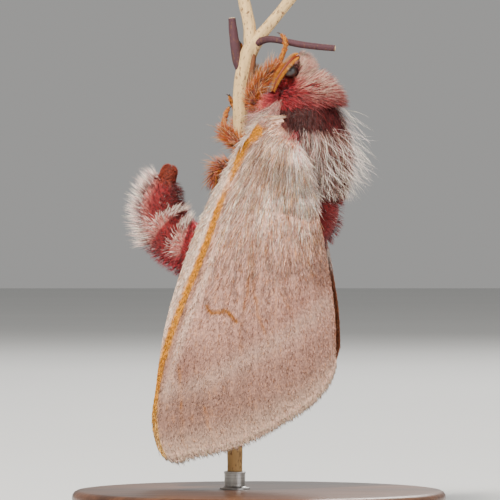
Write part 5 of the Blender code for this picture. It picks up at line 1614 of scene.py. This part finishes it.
def turned(name, profile, centre, sides):
    """A body turned about an upright axis from (radius, z) rows."""
    turn = np.linspace(0.0, TURN, sides, endpoint=False)
    places = np.array([[centre[0] + radius * math.cos(a), centre[1] + radius * math.sin(a), z]
                       for radius, z in profile for a in turn])
    quads = grid_faces(len(profile), sides, closed=True)
    caps = np.array([np.arange(sides)[::-1], (len(profile) - 1) * sides + np.arange(sides)])
    fans = [[cap[0], cap[k], cap[k + 1]] for cap in caps for k in range(1, sides - 1)]
    piece = mesh_from_arrays(name, places, np.vstack([triangles_of(quads), fans]))
    piece.data.set_sharp_from_angle(angle=math.radians(35.0))
    return piece


def build_stand(wood, metal):
    """The base, turned with a rounded edge and a fine groove, and the sleeve that holds the stem."""
    rim = [(0.02, 0.0), (19.5, 0.0), (19.8, 0.12), (19.97, 0.4), (20.0, 0.7), (20.0, 1.25), (19.86, 1.32),
           (19.86, 1.42), (20.0, 1.5), (20.0, 2.3), (19.94, 2.58), (19.76, 2.82), (19.5, 2.96), (19.2, 3.0),
           (12.0, 3.0), (0.02, 3.0)]
    finish_piece(turned("turned_base", rim, (0.0, 0.0), 160), wood, ["stand_base"])
    sleeve = [(0.02, 2.9), (1.62, 2.9), (1.62, 3.14), (1.56, 3.2), (1.24, 3.24), (1.12, 3.34), (1.12, 4.66),
              (1.17, 4.72), (1.17, 4.86), (1.10, 4.92), (0.90, 4.92), (0.02, 4.8)]
    finish_piece(turned("stem_sleeve", sleeve, STEM[0][:2], 48), metal, ["stand_rod"])


# Room

def build_room():
    """Pale floor, soft lights and the camera."""
    bpy.ops.mesh.primitive_plane_add(size=FLOOR_SIZE, location=(0.0, 0.0, 0.0))
    floor = bpy.context.active_object
    floor.name = "floor"
    floor.data.materials.append(floor_material())
    world = bpy.data.worlds.new("studio")
    world.use_nodes = True
    world.node_tree.nodes["Background"].inputs["Color"].default_value = (0.93, 0.92, 0.90, 1.0)
    world.node_tree.nodes["Background"].inputs["Strength"].default_value = 0.38
    bpy.context.scene.world = world
    lights = (("key", (-0.25, -0.55, 0.60), 0.15, 17.0, (1.0, 0.95, 0.88)),
              ("fill", (0.55, -0.50, 0.25), 0.50, 2.0, (0.98, 0.97, 1.0)),
              ("back", (0.20, 0.60, 0.55), 0.40, 5.0, (1.0, 0.98, 0.95)))
    for name, place, size, power, colour in lights:
        data = bpy.data.lights.new(name, "AREA")
        data.size = size
        data.energy = power
        data.color = colour
        lamp = bpy.data.objects.new(name, data)
        lamp.location = place
        aim = np.array([0.0, 0.0, 0.03]) - np.array(place)
        lamp.rotation_euler = (math.atan2(math.hypot(aim[0], aim[1]), -aim[2]), 0.0,
                               math.atan2(aim[1], aim[0]) - 0.5 * math.pi)
        bpy.context.scene.collection.objects.link(lamp)
    data = bpy.data.cameras.new("photo_view")
    data.sensor_width = CAMERA_SENSOR
    data.lens = CAMERA_SENSOR * -CAMERA_PLACE[1] / VIEW_WIDTH
    data.clip_start = 0.01
    camera = bpy.data.objects.new("photo_view", data)
    camera.location = [value * MM for value in CAMERA_PLACE]
    camera.rotation_euler = (0.5 * math.pi, 0.0, 0.0)
    bpy.context.scene.collection.objects.link(camera)
    bpy.context.scene.camera = camera


def main():
    build_room()
    build_stand(base_material(), metal_material())
    hair = hair_material("silky_hair", 0.6, 0.10)
    scales = hair_material("wing_scale_hair", 0.75, 0.10, 0.22)
    skin = skin_material("hair_root_skin")
    build_body(skin)
    build_eyes(eye_material())
    build_antennae(chitin_material("antenna_chitin", TIP_BROWN, 0.5), hair)
    build_legs(skin, hair, chitin_material("claw_chitin", CLAW, 0.3))
    build_wings(wing_material("wing_sheet"), scales)
    build_mane(hair)
    build_collar_and_face(hair)
    build_breast_and_shoulders(hair)
    build_abdomen_coat(hair)
    build_stem(bark_material(), cut_wood_material())


main()
